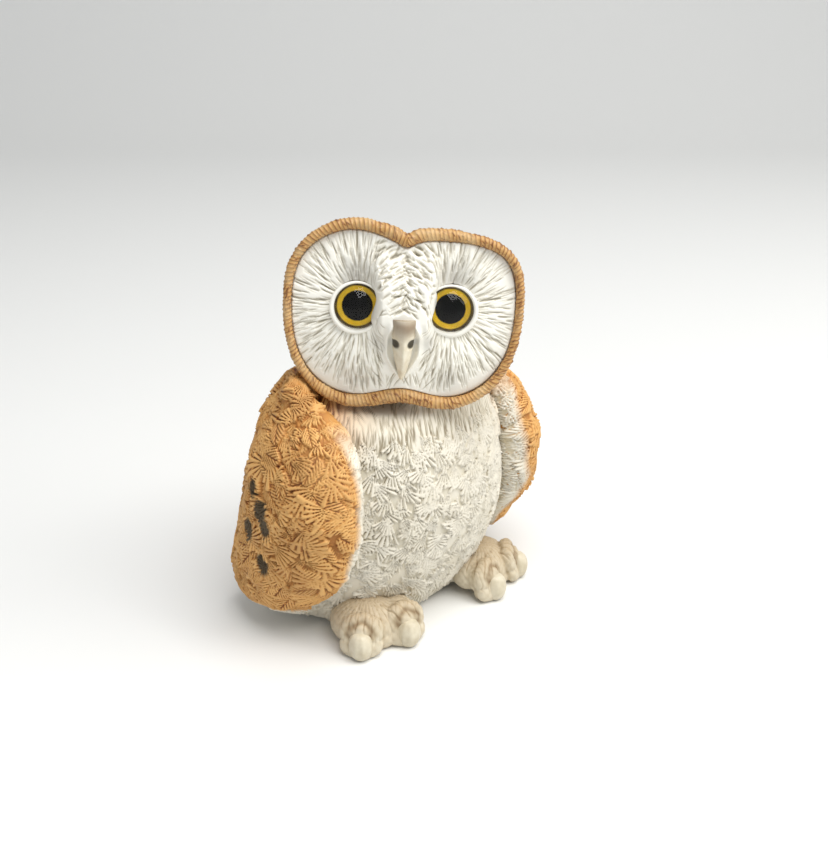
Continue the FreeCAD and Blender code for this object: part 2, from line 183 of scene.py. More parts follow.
class Surface:
    """A grid of points, closed round its columns, that is carved before it becomes a mesh."""

    def __init__(self, points):
        self.points = points
        self.normals = grid_normals(points)
        rows, columns = points.shape[:2]
        self.height = np.zeros((rows, columns))
        self.groove = np.zeros((rows, columns))
        self.tint = np.full((rows, columns), 0.5)
        self.mask = np.zeros((rows, columns))
        self.spots = np.zeros((rows, columns))
        row_gap = np.linalg.norm(np.diff(points, axis=0), axis=2)
        column_gap = np.linalg.norm(np.diff(points, axis=1), axis=2)
        self.row_gap = np.pad(row_gap, ((0, 1), (0, 0)), mode="edge") + 1e-4
        self.column_gap = np.pad(column_gap, ((0, 0), (0, 1)), mode="edge") + 1e-4

    def window(self, row, column, reach):
        """Rows and columns within a reach in millimetres of one grid point."""
        rows, columns = self.height.shape
        row_reach = int(reach / self.row_gap[row, column]) + 2
        column_reach = min(int(reach / self.column_gap[row, column]) + 2, columns // 2 - 1)
        row_list = np.arange(max(0, row - row_reach), min(rows, row + row_reach + 1))
        column_list = np.arange(column - column_reach, column + column_reach + 1) % columns
        return np.ix_(row_list, column_list)

    def hanging(self, row, column, swing):
        """Down, turned about the surface's normal by up to a swing in degrees either way."""
        return turned(DOWN, self.normals[row, column], random.uniform(-swing, swing))

    def patch(self, row, column, direction, reach):
        """The window round a point, with each place's distance along a direction and across it."""
        window = self.window(row, column, reach)
        normal = self.normals[row, column]
        along_axis = unit(direction - normal * direction.dot(normal))
        across_axis = np.cross(normal, along_axis)
        away = self.points[window] - self.points[row, column]
        deep = np.abs(away @ normal) > reach
        along = away @ along_axis
        along[deep] = 1e6
        return window, along, away @ across_axis

    def leaf(self, row, column, direction, length, width, rise=1.0, spacing=1.3):
        """A leaf-shaped tuft: a raised blade with a midrib and slanting barbs, highest at its tip."""
        window, along, across = self.patch(row, column, direction, length * 1.1)
        part = along / length
        inside = (part > 0) & (part < 1)
        part = np.clip(part, 0.001, 0.999)
        half = width / 2 * np.sin(np.pi * part ** 0.75) ** 0.6
        edge = np.abs(across) / np.maximum(half, 0.05)
        inside &= edge < 1
        wave = (along - np.abs(across) * 1.7) / spacing + 0.25 * np.sign(across)
        barb = np.abs(wave - np.round(wave)) * 2
        groove = np.clip(1.0 - barb * 1.7, 0, 1)
        groove = np.maximum(groove, np.clip(1.0 - np.abs(across) / 0.4, 0, 1))
        body = rise * (0.55 + 0.45 * part) - 0.4 * edge ** 4
        self.lay(window, inside, body - 0.62 * groove, groove)

    def fan(self, row, column, direction, length, spread, bars, rise=0.8):
        """A fan-shaped tuft: bars that spread from a root, with a scalloped end."""
        window, along, across = self.patch(row, column, direction, length * 1.15)
        reach = np.hypot(along, across)
        bend = random.uniform(-0.25, 0.25) * reach / length
        angle = (np.arctan2(across, along) + bend) / spread
        wave = angle * bars / 2 + random.uniform(-0.4, 0.4)
        bar = np.abs(wave - np.round(wave)) * 2
        lengths = random.uniform(0.66, 1.0, 4 * bars)
        limit = length * lengths[np.round(wave).astype(int) % (4 * bars)] - 1.5 * bar ** 2
        inside = (np.abs(angle) < 1) & (reach < limit)
        groove = np.clip(bar * 2.6 - 1.3, 0, 1) * np.clip(reach / 1.2, 0, 1)
        part = np.clip(reach / length, 0, 1)
        body = rise * (0.55 + 0.45 * part) - 0.3 * np.abs(angle) ** 3
        self.lay(window, inside, body - 0.75 * groove, groove)

    def lay(self, window, inside, body, groove):
        """Lay one tuft over what is there, like a shingle, with its own tint."""
        higher = inside & (body > self.height[window])
        self.height[window] = np.where(higher, body, self.height[window])
        self.groove[window] = np.where(higher, groove, self.groove[window])
        self.tint[window] = np.where(higher, random.uniform(0, 1), self.tint[window])

    def stroke(self, row, column, direction, length, width, depth):
        """A carved stroke, tapering to both ends; a negative depth raises a ridge instead."""
        window, along, across = self.patch(row, column, direction, length * 0.6 + width)
        part = np.clip(1.0 - (along / (length / 2)) ** 2, 0, 1)
        profile = np.exp(-(across / (width / 2)) ** 2) * np.sqrt(part)
        self.height[window] -= depth * profile
        if depth > 0:
            self.groove[window] = np.maximum(self.groove[window], profile)

    def spot(self, row, column, radius):
        """Mark a painted spot whose edge follows the tufts it is painted on."""
        window, along, across = self.patch(row, column, np.array([0.0, 0.0, -1.0]), radius * 1.6)
        reach = np.hypot(along, across * 1.35) / (0.7 + 0.6 * self.tint[window])
        self.spots[window] = np.maximum(self.spots[window], np.clip(3.2 - 3.2 * reach / radius, 0, 1))

    def carved(self):
        return self.points + self.normals * self.height[..., None]


def write_paint(mesh, channels):
    """Store the paint channels of a mesh, each with one value for every vertex."""
    colour = np.ones((len(mesh.vertices), 4), dtype=np.float32)
    for channel, values in enumerate(channels):
        colour[:, channel] = np.clip(values, 0, 1).ravel()
    paint = mesh.color_attributes.new(name="Paint", type="FLOAT_COLOR", domain="POINT")
    paint.data.foreach_set("color", colour.ravel())


def build_mesh(name, points, channels, close_first=False, close_last=False):
    """A smooth quad mesh of a grid, with paint channels and a tidy unwrap for baking."""
    rows, columns = points.shape[:2]
    index = np.arange(rows * columns).reshape(rows, columns)
    after = np.roll(index, -1, axis=1)
    quads = np.stack([index[:-1], after[:-1], after[1:], index[1:]], axis=-1).reshape(-1, 4)
    mesh = bpy.data.meshes.new(name)
    vertices = points.reshape(-1, 3) * MM
    loops = quads.ravel()
    starts = np.arange(len(quads)) * 4
    caps = []
    if close_first:
        caps.append(index[0][::-1])
    if close_last:
        caps.append(index[-1])
    for cap in caps:
        starts = np.append(starts, len(loops))
        loops = np.append(loops, cap)
    mesh.vertices.add(len(vertices))
    mesh.vertices.foreach_set("co", vertices.ravel())
    mesh.loops.add(len(loops))
    mesh.loops.foreach_set("vertex_index", loops)
    mesh.polygons.add(len(starts))
    mesh.polygons.foreach_set("loop_start", starts)
    mesh.update(calc_edges=True)
    mesh.validate()
    mesh.polygons.foreach_set("use_smooth", np.ones(len(mesh.polygons), dtype=bool))
    layer = mesh.uv_layers.new(name="OFBake")
    column_of = loops % columns
    row_of = loops // columns
    across = column_of / columns
    quad_columns = column_of[: len(quads) * 4].reshape(-1, 4)
    wraps = (quad_columns.max(axis=1) - quad_columns.min(axis=1)) > columns / 2
    fixed = quad_columns + np.where(wraps[:, None] & (quad_columns == 0), columns, 0)
    across[: len(quads) * 4] = fixed.ravel() / columns
    uv = np.stack([0.01 + 0.98 * across, 0.03 + 0.94 * row_of / max(rows - 1, 1)], axis=1)
    uv[len(quads) * 4:] = 0.005
    layer.data.foreach_set("uv", uv.astype(np.float32).ravel())
    write_paint(mesh, channels)
    return new_thing(name, mesh)


def relief_channels(surface):
    """Paint channels of a carved grid: how sunken each place is, its tint, its mask and its spots. The
    paints darken the sunken places, partly as a wash and partly as painted shade.
    """
    height = surface.height
    blur = smooth(smooth(height, 0, 9, False), 1, 9, True)
    # Sunken places and cut grooves get a high first channel, which the paints show darker: partly a wash,
    # partly painted shade.
    sunk = np.clip(0.5 + (blur - height) * 1.3, 0, 1)
    cavity = np.clip(0.65 * sunk + 0.65 * surface.groove - 0.14, 0, 1)
    return cavity, surface.tint, surface.mask, surface.spots


def surface_piece(name, surface, material, nodes, close_first=False, close_last=False):
    """Turn a carved surface into a finished piece on the root body, all above the resting plane."""
    points = surface.carved()
    points[..., 2] = np.maximum(points[..., 2], 0.0)
    thing = build_mesh(name, points, relief_channels(surface), close_first, close_last)
    return finish_piece(thing, material, nodes)


def finish_piece(thing, material, nodes):
    """Paint a piece, fix it to the root body, and hide the CAD nodes it stands for."""
    thing.data.materials.append(material)
    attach(thing, "root")
    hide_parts(*nodes)
    return thing


# ---------------------------------------------------------------- paints

class Paint:
    """Small helper that wires up one procedural material."""

    def __init__(self, name):
        self.material = bpy.data.materials.new(name)
        self.material.use_nodes = True
        self.tree = self.material.node_tree
        self.shader = self.tree.nodes["Principled BSDF"]
        attribute = self.tree.nodes.new("ShaderNodeAttribute")
        attribute.attribute_name = "Paint"
        split = self.tree.nodes.new("ShaderNodeSeparateColor")
        self.tree.links.new(attribute.outputs["Color"], split.inputs["Color"])
        self.cavity = split.outputs["Red"]
        self.tint = split.outputs["Green"]
        self.mask = split.outputs["Blue"]
        self.spot = attribute.outputs["Alpha"]
        self.place = self.tree.nodes.new("ShaderNodeTexCoord").outputs["Object"]

    def ramp(self, factor, stops):
        """A colour ramp; stops are (position, (r, g, b))."""
        node = self.tree.nodes.new("ShaderNodeValToRGB")
        while len(node.color_ramp.elements) < len(stops):
            node.color_ramp.elements.new(0.5)
        for element, (position, colour) in zip(node.color_ramp.elements, stops):
            element.position = position
            element.color = (*colour, 1.0)
        self.tree.links.new(factor, node.inputs["Fac"])
        return node.outputs["Color"]

    def noise(self, scale, detail=4.0, roughness=0.55):
        """Soft noise through the object, from 0 to 1."""
        node = self.tree.nodes.new("ShaderNodeTexNoise")
        node.inputs["Scale"].default_value = scale
        node.inputs["Detail"].default_value = detail
        node.inputs["Roughness"].default_value = roughness
        self.tree.links.new(self.place, node.inputs["Vector"])
        return node.outputs["Fac"]

    def scaled(self, value, share):
        """A value times a number, kept between 0 and 1."""
        node = self.tree.nodes.new("ShaderNodeMath")
        node.operation = "MULTIPLY"
        node.use_clamp = True
        self.tree.links.new(value, node.inputs[0])
        node.inputs[1].default_value = share
        return node.outputs["Value"]

    def mix(self, factor, first, second):
        """Mix two colours by a factor; the second may be a plain colour."""
        node = self.tree.nodes.new("ShaderNodeMix")
        node.data_type = "RGBA"
        self.tree.links.new(factor, node.inputs["Factor"])
        self.tree.links.new(first, node.inputs[6])
        if isinstance(second, tuple):
            node.inputs[7].default_value = (*second, 1.0)
        else:
            self.tree.links.new(second, node.inputs[7])
        return node.outputs[2]

    def wash(self, colour, over, value, low, high, most):
        """Lay a colour over another as a value rises from low to high, up to a share of most."""
        node = self.tree.nodes.new("ShaderNodeMapRange")
        node.inputs["From Min"].default_value = low
        node.inputs["From Max"].default_value = high
        node.inputs["To Max"].default_value = most
        self.tree.links.new(value, node.inputs["Value"])
        return self.mix(node.outputs["Result"], colour, over)

    def speckle(self, scale, strength, distance=0.0003):
        """Fine mottling that also roughens the surface."""
        fine = self.noise(scale, 3.0, 0.7)
        self.bump(fine, strength, distance)
        return fine

    def bump(self, value, strength, distance):
        """Roughen the surface by a value."""
        node = self.tree.nodes.new("ShaderNodeBump")
        node.inputs["Strength"].default_value = strength
        node.inputs["Distance"].default_value = distance
        self.tree.links.new(value, node.inputs["Height"])
        self.tree.links.new(node.outputs["Normal"], self.shader.inputs["Normal"])

    def finish(self, colour, roughness, gloss=0.35):
        """Join the colour to the shader and return the finished material."""
        self.tree.links.new(colour, self.shader.inputs["Base Color"])
        self.shader.inputs["Roughness"].default_value = roughness
        self.shader.inputs["Specular IOR Level"].default_value = gloss
        return self.material


# Paint colours, in linear light.
RUST = (0.56, 0.255, 0.062)
RUST_LIGHT = (0.72, 0.41, 0.14)
RUST_DARK = (0.15, 0.045, 0.010)
RUST_DEEP = (0.28, 0.10, 0.022)
CREAM = (0.66, 0.59, 0.44)
WHITE = (0.75, 0.705, 0.60)
WHITE_SHADE = (0.30, 0.25, 0.17)
OLIVE_BLACK = (0.035, 0.028, 0.014)
STAIN = (0.17, 0.10, 0.05)
# The rust coat, from the high places of the carving down into its cuts: lighter on top and darker in the
# cuts, partly as real dry-brushing and wash and partly as painted highlight and painted shade.
RUST_COAT = ((0.12, RUST_LIGHT), (0.36, RUST), (0.66, RUST_DEEP), (0.92, RUST_DARK))
# Real glass is about 1.5. A lower index keeps reflections dark over the pupils.
GLASS_INDEX = 1.25


def wing_paint():
    """Orange-brown, lighter on the high places and dark in the cuts, partly as real dry-brushing and wash
    and partly as painted highlight and shade, with a cream hem and dark painted spots.
    """
    paint = Paint("wing_paint")
    patches = paint.noise(90.0, 3.0)
    speckle = paint.speckle(900.0, 0.25)
    rust = paint.ramp(paint.cavity, RUST_COAT)
    rust = paint.wash(rust, RUST_DEEP, paint.tint, 0.2, 1.0, 0.35)
    rust = paint.wash(rust, RUST_LIGHT, patches, 0.45, 0.75, 0.45)
    hem = paint.ramp(paint.cavity, ((0.2, WHITE), (0.5, CREAM), (0.9, RUST)))
    colour = paint.mix(paint.mask, rust, hem)
    colour = paint.wash(colour, RUST_LIGHT, speckle, 0.62, 0.74, 0.3)
    colour = paint.mix(paint.scaled(paint.spot, 0.93), colour, OLIVE_BLACK)
    return paint.finish(colour, 0.62)


def breast_paint():
    """Off-white, grey-beige in the cuts, partly as a wash and partly as painted shade; the mask turns it to
    the rust of the back.
    """
    paint = Paint("breast_paint")
    patches = paint.noise(70.0, 3.0)
    paint.speckle(1100.0, 0.2)
    white = paint.ramp(paint.cavity, (
        (0.25, WHITE), (0.5, (0.66, 0.61, 0.49)), (0.95, WHITE_SHADE),
    ))
    white = paint.wash(white, CREAM, patches, 0.4, 0.7, 0.3)
    rust = paint.ramp(paint.cavity, RUST_COAT)
    colour = paint.mix(paint.mask, white, rust)
    return paint.finish(colour, 0.6)


def face_paint():
    """The brightest white, grey in the strokes (partly a thin wash, partly painted shade) and with painted
    grey shade in the sockets, low on the cheeks and beside the beak.
    """
    paint = Paint("face_paint")
    paint.speckle(1100.0, 0.15, 0.0002)
    colour = paint.ramp(paint.cavity, (
        (0.3, (0.88, 0.86, 0.78)), (0.6, (0.80, 0.77, 0.67)), (1.0, (0.50, 0.46, 0.37)),
    ))
    colour = paint.mix(paint.scaled(paint.mask, 0.75), colour, (0.42, 0.40, 0.36))
    return paint.finish(colour, 0.55)


def ruff_paint():
    """Golden tan, darker in the cuts between its strands, partly as a wash and partly as painted shade, with
    cream dry-brushed on its strands.
    """
    paint = Paint("ruff_paint")
    patches = paint.noise(160.0, 3.0)
    speckle = paint.speckle(1200.0, 0.25)
    colour = paint.ramp(paint.cavity, (
        (0.15, (0.54, 0.31, 0.105)), (0.42, (0.38, 0.175, 0.05)), (0.9, (0.13, 0.045, 0.012)),
    ))
    colour = paint.wash(colour, (0.62, 0.43, 0.21), patches, 0.48, 0.68, 0.7)
    colour = paint.wash(colour, (0.80, 0.68, 0.45), speckle, 0.62, 0.72, 0.5)
    return paint.finish(colour, 0.5, 0.45)


def foot_paint():
    """Pale beige, darker in the wrinkles and cuffs, partly as a brown wash and partly as painted shade, and
    a darker brown on the legs.
    """
    paint = Paint("foot_paint")
    patches = paint.noise(150.0, 4.0)
    paint.speckle(1200.0, 0.2)
    colour = paint.ramp(paint.cavity, (
        (0.2, (0.64, 0.57, 0.43)), (0.5, (0.50, 0.42, 0.29)), (0.95, (0.22, 0.15, 0.08)),
    ))
    colour = paint.wash(colour, (0.50, 0.41, 0.27), patches, 0.45, 0.8, 0.45)
    colour = paint.mix(paint.scaled(paint.mask, 0.75), colour, (0.42, 0.30, 0.17))
    return paint.finish(colour, 0.6)


def claw_paint():
    """Cream nails, a little glossier than the feet."""
    paint = Paint("claw_paint")
    streaks = paint.noise(260.0, 4.0)
    colour = paint.ramp(streaks, ((0.3, (0.54, 0.47, 0.33)), (0.7, (0.68, 0.62, 0.48))))
    # Darker with the first channel: painted shade at the bottom of each nail, and faint darker stripes along
    # its ridges.
    colour = paint.wash(colour, (0.36, 0.27, 0.15), paint.cavity, 0.4, 1.0, 0.8)
    return paint.finish(colour, 0.42, 0.45)


def beak_paint():
    """Cream bill, stained brown at its root and nearly black in the nostrils."""
    paint = Paint("beak_paint")
    streaks = paint.noise(300.0, 4.0)
    colour = paint.ramp(streaks, ((0.3, (0.66, 0.58, 0.42)), (0.7, (0.82, 0.77, 0.63))))
    # The first channel darkens the bill's side edges, where it meets the face, as painted shade.
    colour = paint.wash(colour, (0.45, 0.35, 0.2), paint.cavity, 0.45, 1.0, 0.6)
    colour = paint.mix(paint.scaled(paint.mask, 0.8), colour, STAIN)
    colour = paint.mix(paint.spot, colour, OLIVE_BLACK)
    return paint.finish(colour, 0.45, 0.45)


def iris_paint():
    """Olive yellow enamel, darker at its rim, with faint rays."""
    paint = Paint("iris_paint")
    rays = paint.noise(700.0, 5.0)
    colour = paint.ramp(paint.cavity, (
        (0.0, (0.80, 0.50, 0.008)), (0.45, (0.50, 0.29, 0.006)), (1.0, (0.04, 0.02, 0.004)),
    ))
    colour = paint.wash(colour, (0.34, 0.25, 0.02), rays, 0.4, 0.7, 0.35)
    return paint.finish(colour, 0.4, 0.3)


def pupil_paint():
    """Black enamel."""
    paint = Paint("pupil_paint")
    colour = paint.ramp(paint.noise(400.0), ((0.0, (0.001, 0.001, 0.001)), (1.0, (0.003, 0.003, 0.003))))
    return paint.finish(colour, 0.6, 0.1)


def eye_glass_material():
    """Clear polished glass."""
    paint = Paint("eye_glass")
    paint.shader.inputs["Base Color"].default_value = (1.0, 1.0, 1.0, 1.0)
    paint.shader.inputs["Transmission Weight"].default_value = 1.0
    paint.shader.inputs["Roughness"].default_value = 0.015
    paint.shader.inputs["IOR"].default_value = GLASS_INDEX
    return paint.material


def resin_material(name, light, dark):
    """Bare or undercoated resin with soft mottling."""
    paint = Paint(name)
    mottle = paint.noise(220.0, 5.0)
    colour = paint.ramp(mottle, ((0.3, dark), (0.7, light)))
    paint.bump(mottle, 0.3, 0.0004)
    return paint.finish(colour, 0.7)


paints = {
    "wing": wing_paint(),
    "breast": breast_paint(),
    "face": face_paint(),
    "ruff": ruff_paint(),
    "foot": foot_paint(),
    "claw": claw_paint(),
    "beak": beak_paint(),
    "iris": iris_paint(),
    "pupil": pupil_paint(),
    "glass": eye_glass_material(),
    "putty": resin_material("putty", (0.72, 0.69, 0.60), (0.55, 0.51, 0.43)),
    "plug": resin_material("plug", (0.80, 0.77, 0.70), (0.66, 0.62, 0.54)),
}


# ---------------------------------------------------------------- upright forms: torso and wings

def wrap(node, heights, reach, least, count=120):
    """Radii of a CAD node round the upright axis through its middle, felt from outside at each height."""
    tree = node_tree(node)
    centre = middle(node)[:2]
    angles = round_angles(count)
    radii = np.full((len(heights), count), least)
    for row, height in enumerate(heights):
        for column, angle in enumerate(angles):
            way = Vector((math.cos(angle), math.sin(angle), 0.0))
            start = Vector((*centre, height)) + way * reach
            spot, _, _, distance = tree.ray_cast(start, -way, reach)
            if spot is not None:
                radii[row, column] = max(least, reach - distance)
    return centre, radii


def upright_surface(node, rows, columns, reach, least, top_round, foot_round):
    """A grid that follows a CAD node's outside, rounded over at both ends, with its heights and angles."""
    low, high = corners(node)
    heights = np.linspace(low[2] + 0.4, high[2] - 0.4, 48)
    centre, radii = wrap(node, heights, reach, least)
    radii = smooth(smooth(radii, 0, 3, False), 1, 3, True)
    radii = stretch(stretch(radii, rows, 0, False), columns, 1, True)
    height = np.linspace(low[2], high[2], rows)
    for gap, rounding in ((high[2] - height, top_round), (height - low[2], foot_round)):
        part = np.clip(gap / rounding, 0, 1)
        radii = radii * np.sqrt(1 - (1 - part) ** 2 * 0.995)[:, None]
    angle = round_angles(columns)
    points = np.stack([
        centre[0] + radii * np.cos(angle),
        centre[1] + radii * np.sin(angle),
        np.broadcast_to(height[:, None], radii.shape),
    ], axis=-1)
    return Surface(points), height, np.degrees(angle)


DOWN = np.array([0.0, 0.0, -1.0])


def turned(direction, axis, degrees):
    """A direction turned about an axis."""
    angle = math.radians(degrees)
    return direction * math.cos(angle) + np.cross(axis, direction) * math.sin(angle)


def shingle(surface, row_step, column_step, chosen, lay):
    """Call lay(row, column) at staggered, jittered places about that many millimetres apart."""
    rows, columns = surface.height.shape
    walk = np.cumsum(surface.row_gap.mean(axis=1))
    rings = int(walk[-1] / row_step)
    for ring in range(rings + 1):
        row = int(np.searchsorted(walk, ring * row_step))
        row = min(row, rows - 1)
        girth = np.cumsum(surface.column_gap[row])
        count = max(3, int(girth[-1] / column_step))
        for step in range(count):
            share = (step + 0.5 * (ring % 2) + random.uniform(-0.3, 0.3)) / count % 1.0
            column = int(np.searchsorted(girth, share * girth[-1]))
            near_row = int(np.clip(row + random.uniform(-0.3, 0.3) * row_step
                                   / surface.row_gap[row, column % columns], 0, rows - 1))
            if chosen(near_row, column % columns):
                lay(near_row, column % columns)


def make_torso():
    """White fan-tufted breast, finely scored throat, rust back, smooth cream base."""
    surface, height, angle = upright_surface(
        "body_shell", rows=330, columns=840, reach=90.0, least=8.0, top_round=9.0, foot_round=2.5
    )
    tall = height / corners("body_shell")[1][2]
    from_front = np.abs((angle - 270 + 180) % 360 - 180)
    soft = noise_grid(surface.height.shape, (14, 30), True)
    back = np.clip((from_front[None, :] - 92 + 10 * soft) / 14, 0, 1)
    back *= np.clip((tall[:, None] - 0.10) / 0.03, 0, 1)
    shoulder = ease(tall[:, None] + 0.05 * soft, 0.56, 0.80)
    shoulder = shoulder * ease(from_front[None, :] + 8 * soft, 38, 84)
    surface.mask[:] = np.maximum(back, shoulder)

    def low_breast(row, column):
        return 0.085 < tall[row] < 0.76 and from_front[column] < 105

    def lay_fan(row, column):
        wild = 85 if tall[row] < 0.45 else 45
        way = surface.hanging(row, column, wild)
        surface.fan(row, column, way, random.uniform(7.0, 10.0), random.uniform(0.5, 0.78),
                    random.integers(6, 9), random.uniform(0.8, 1.6))

    def is_back(row, column):
        return tall[row] > 0.12 and from_front[column] > 92

    def lay_back(row, column):
        way = surface.hanging(row, column, 35)
        surface.leaf(row, column, way, random.uniform(8, 10.5), random.uniform(5.5, 7.5),
                     random.uniform(0.9, 1.5))

    shingle(surface, 4.2, 5.0, low_breast, lay_fan)
    shingle(surface, 5.2, 5.4, is_back, lay_back)

    rows, columns = surface.height.shape
    front = np.flatnonzero(from_front < 100)
    for _ in range(THROAT_STROKES):
        row = int(rows * random.uniform(0.71, 0.95))
        column = int(random.choice(front))
        way = surface.hanging(row, column, 10)
        surface.stroke(row, column, way, random.uniform(4, 8), random.uniform(0.42, 0.6),
                       random.uniform(0.08, 0.22))
    for _ in range(BASE_STROKES):
        row = int(rows * random.uniform(0.01, 0.10))
        column = int(random.integers(0, columns))
        way = surface.hanging(row, column, 25)
        surface.stroke(row, column, way, random.uniform(3, 6), 0.7, random.uniform(0.1, 0.25))
    surface.height += 0.5 * soft * (tall[:, None] > 0.1)
    return surface_piece("body", surface, paints["breast"], ["body_shell"], True, True)


# Painted spots on a wing: part of its height, degrees back from straight out to the side, radius.
WING_SPOTS = ((0.60, 12.0, 3.8), (0.53, -8.0, 4.4), (0.47, -13.0, 4.4), (0.42, 20.0, 4.6), (0.31, -5.0, 4.6))


def make_wing(name, side):
    """A folded wing covered in ribbed leaf-like tufts, with a cream hem along its inner front edge."""
    node = name + "_wing"
    surface, height, angle = upright_surface(
        node, rows=330, columns=460, reach=60.0, least=5.0, top_round=9.0, foot_round=9.0
    )
    low, high = corners(node)
    tall = (height - low[2]) / (high[2] - low[2])
    outward = 0.0 if side > 0 else 180.0
    turn = ((angle - outward + 180) % 360 - 180) * side
    soft = noise_grid(surface.height.shape, (18, 18), True)
    surface.points = surface.points + surface.normals * (0.9 * soft)[..., None]

    hem_edge = -85 + 24 * ease(-tall, -0.22, -0.02)[:, None] - 3 * np.cos(tall * 9)[:, None]
    hem = np.clip((hem_edge - turn[None, :] + 4 * soft) / 7, 0, 1)
    hem = np.maximum(hem, ease(turn[None, :], 128, 150))
    hem *= np.clip((0.86 - tall[:, None]) / 0.1, 0, 1)
    hem = np.maximum(hem, 1 - ease(tall[:, None] + 0.012 * soft, 0.06, 0.085))
    surface.mask[:] = hem

    def shown(row, column):
        return -135 < turn[column] < 140

    def lay_leaf(row, column):
        if turn[column] < -86:
            way = turned(DOWN, surface.normals[row, column], side * random.uniform(20, 60))
            surface.fan(row, column, way, random.uniform(5, 7), 0.7, 6, random.uniform(1.0, 1.5))
            return
        way = surface.hanging(row, column, 120)
        small = 1.0 - 0.3 * ease(tall[row], 0.72, 0.9)
        if random.uniform() < 0.35:
            surface.leaf(row, column, way, random.uniform(8.0, 11.0) * small,
                         random.uniform(6.2, 8.2) * small, random.uniform(1.2, 2.2),
                         random.uniform(1.5, 1.9))
        else:
            surface.fan(row, column, way, random.uniform(7.5, 11.0) * small, random.uniform(0.5, 0.85),
                        random.integers(5, 8), random.uniform(1.1, 2.3))

    def lay_under(row, column):
        way = surface.hanging(row, column, 120)
        surface.fan(row, column, way, random.uniform(5.0, 7.0), 0.75, 6, random.uniform(0.3, 0.7))

    shingle(surface, 3.2, 3.6, shown, lay_under)
    shingle(surface, 3.7, 4.3, shown, lay_leaf)
    for tall_part, back, radius in WING_SPOTS:
        row = int(tall_part * len(height))
        column = int(np.argmin(np.abs(turn - back)))
        surface.spot(row, column, radius)
    return surface_piece(node + "_feathers", surface, paints["wing"], [node], True, True)


# ---------------------------------------------------------------- head

def face_radii(count=720):
    """Distance from the middle of the face plate to its edge, all the way round, in the head frame."""
    tree = node_tree("facial_disc")
    across, _, up = head.local(middle("facial_disc"))
    low_out = head.local(middle("left_eye_putty", "right_eye_putty"))[1]
    angles = round_angles(count)
    radii = np.empty(count)
    reach = 80.0
    for index, angle in enumerate(angles):
        way = head.place(math.cos(angle), 0.0, math.sin(angle)) - head.origin
        start = head.place(across, low_out, up) + way * reach
        spot, _, _, distance = tree.ray_cast(Vector(start), Vector(-way), reach)
        radii[index] = reach - distance if spot is not None else 30.0
    return (across, up), radii


FACE_MIDDLE, FACE_RADII = face_radii()
# Small changes to the plain rim: where they lie in degrees, how wide they are, and by how many millimetres.
RIM_TOUCHES = ((90.0, 7.0, -1.7), (113.0, 15.0, 1.2))
rim_degrees = np.arange(len(FACE_RADII)) * 360.0 / len(FACE_RADII)
for touch_angle, touch_width, touch_size in RIM_TOUCHES:
    FACE_RADII += touch_size * np.exp(-((rim_degrees - touch_angle) / touch_width) ** 2)
# The relief of the face in millimetres; FACE_EDGE is the share of the plate's radius that it covers.
EYE_SIDE = head.eye_side
FACE_DOME = (58.0, 24.0, 48.0)
RIDGE_HALF_WIDTH = 9.9
RIDGE_HEIGHT = 4.6
SOCKET_DEPTH = 3.2
GLASS_RADIUS = 7.5
BEAK_BED = 4.6
SOCKET_SPREAD = 9.8
BROW_DEPTH = 1.5
FOLD_RISE = 1.7
EYE_HOLE_DEPTH = 5.5
# On the brow ridge, inside this half width and above this height, strokes slant out and down.
RIDGE_TOP = RIDGE_HALF_WIDTH - 0.8
RIDGE_FOOT = -4
FACE_EDGE = 0.99


def face_radius(angles):
    """Distance from the middle of the face plate to its rim at any angles."""
    spots = np.asarray(angles) / (2 * math.pi) * len(FACE_RADII)
    return np.interp(spots, np.arange(len(FACE_RADII) + 1), np.append(FACE_RADII, FACE_RADII[0]))


def ease(value, low, high):
    """A smooth step from 0 at low to 1 at high."""
    part = np.clip((value - low) / (high - low), 0, 1)
    return part * part * (3 - 2 * part)


def face_height(across, up):
    """How far the bare face stands out at each place, before it is carved."""
    wide, deep, tall = FACE_DOME
    dome = deep * np.sqrt(np.clip(1 - (across / wide) ** 2 - ((up + 2) / tall) ** 2, 0, 1)) - deep + 1.8
    side = np.abs(across)
    ridge = 1 - ease(side, RIDGE_HALF_WIDTH - 3.2, RIDGE_HALF_WIDTH + 1.2 + 3.0 * ease(up, 4, 20))
    ridge_run = ease(up, -13, -3) * (1 - 0.75 * ease(up, 5, 21))
    from_eye = np.hypot(side - EYE_SIDE, up)
    socket = np.exp(-(from_eye / SOCKET_SPREAD) ** 2)
    brow = np.exp(-(np.hypot(side - EYE_SIDE - 2.0, up - 9.5) / 5.5) ** 2)
    height = dome - (SOCKET_DEPTH * socket + BROW_DEPTH * brow) * (1 - 0.8 * ridge * ease(up, -16, -4))
    height = height + RIDGE_HEIGHT * ridge * ridge_run
    cheek = np.exp(-(np.hypot(side - 17, up + 17) / 8) ** 2)
    height = height + cheek
    beside_beak = BEAK_BED * ease(up, -24.5, -13) * (1 - 0.35 * ease(up, -9, -3)) + 0.6
    fold = np.exp(-((side - beside_beak) / 0.95) ** 2) * ease(up, -25, -20) * (1 - ease(up, -6, -2))
    height = height + FOLD_RISE * fold
    skin_edge = RIDGE_HALF_WIDTH - 0.35 + 0.9 * np.sin(up * 0.55) * np.sign(across)
    open_eye = ease(side, skin_edge, skin_edge + 0.5)
    hole = 1 - ease(from_eye, GLASS_RADIUS - 0.1, GLASS_RADIUS + 0.5)
    return height - EYE_HOLE_DEPTH * hole * open_eye


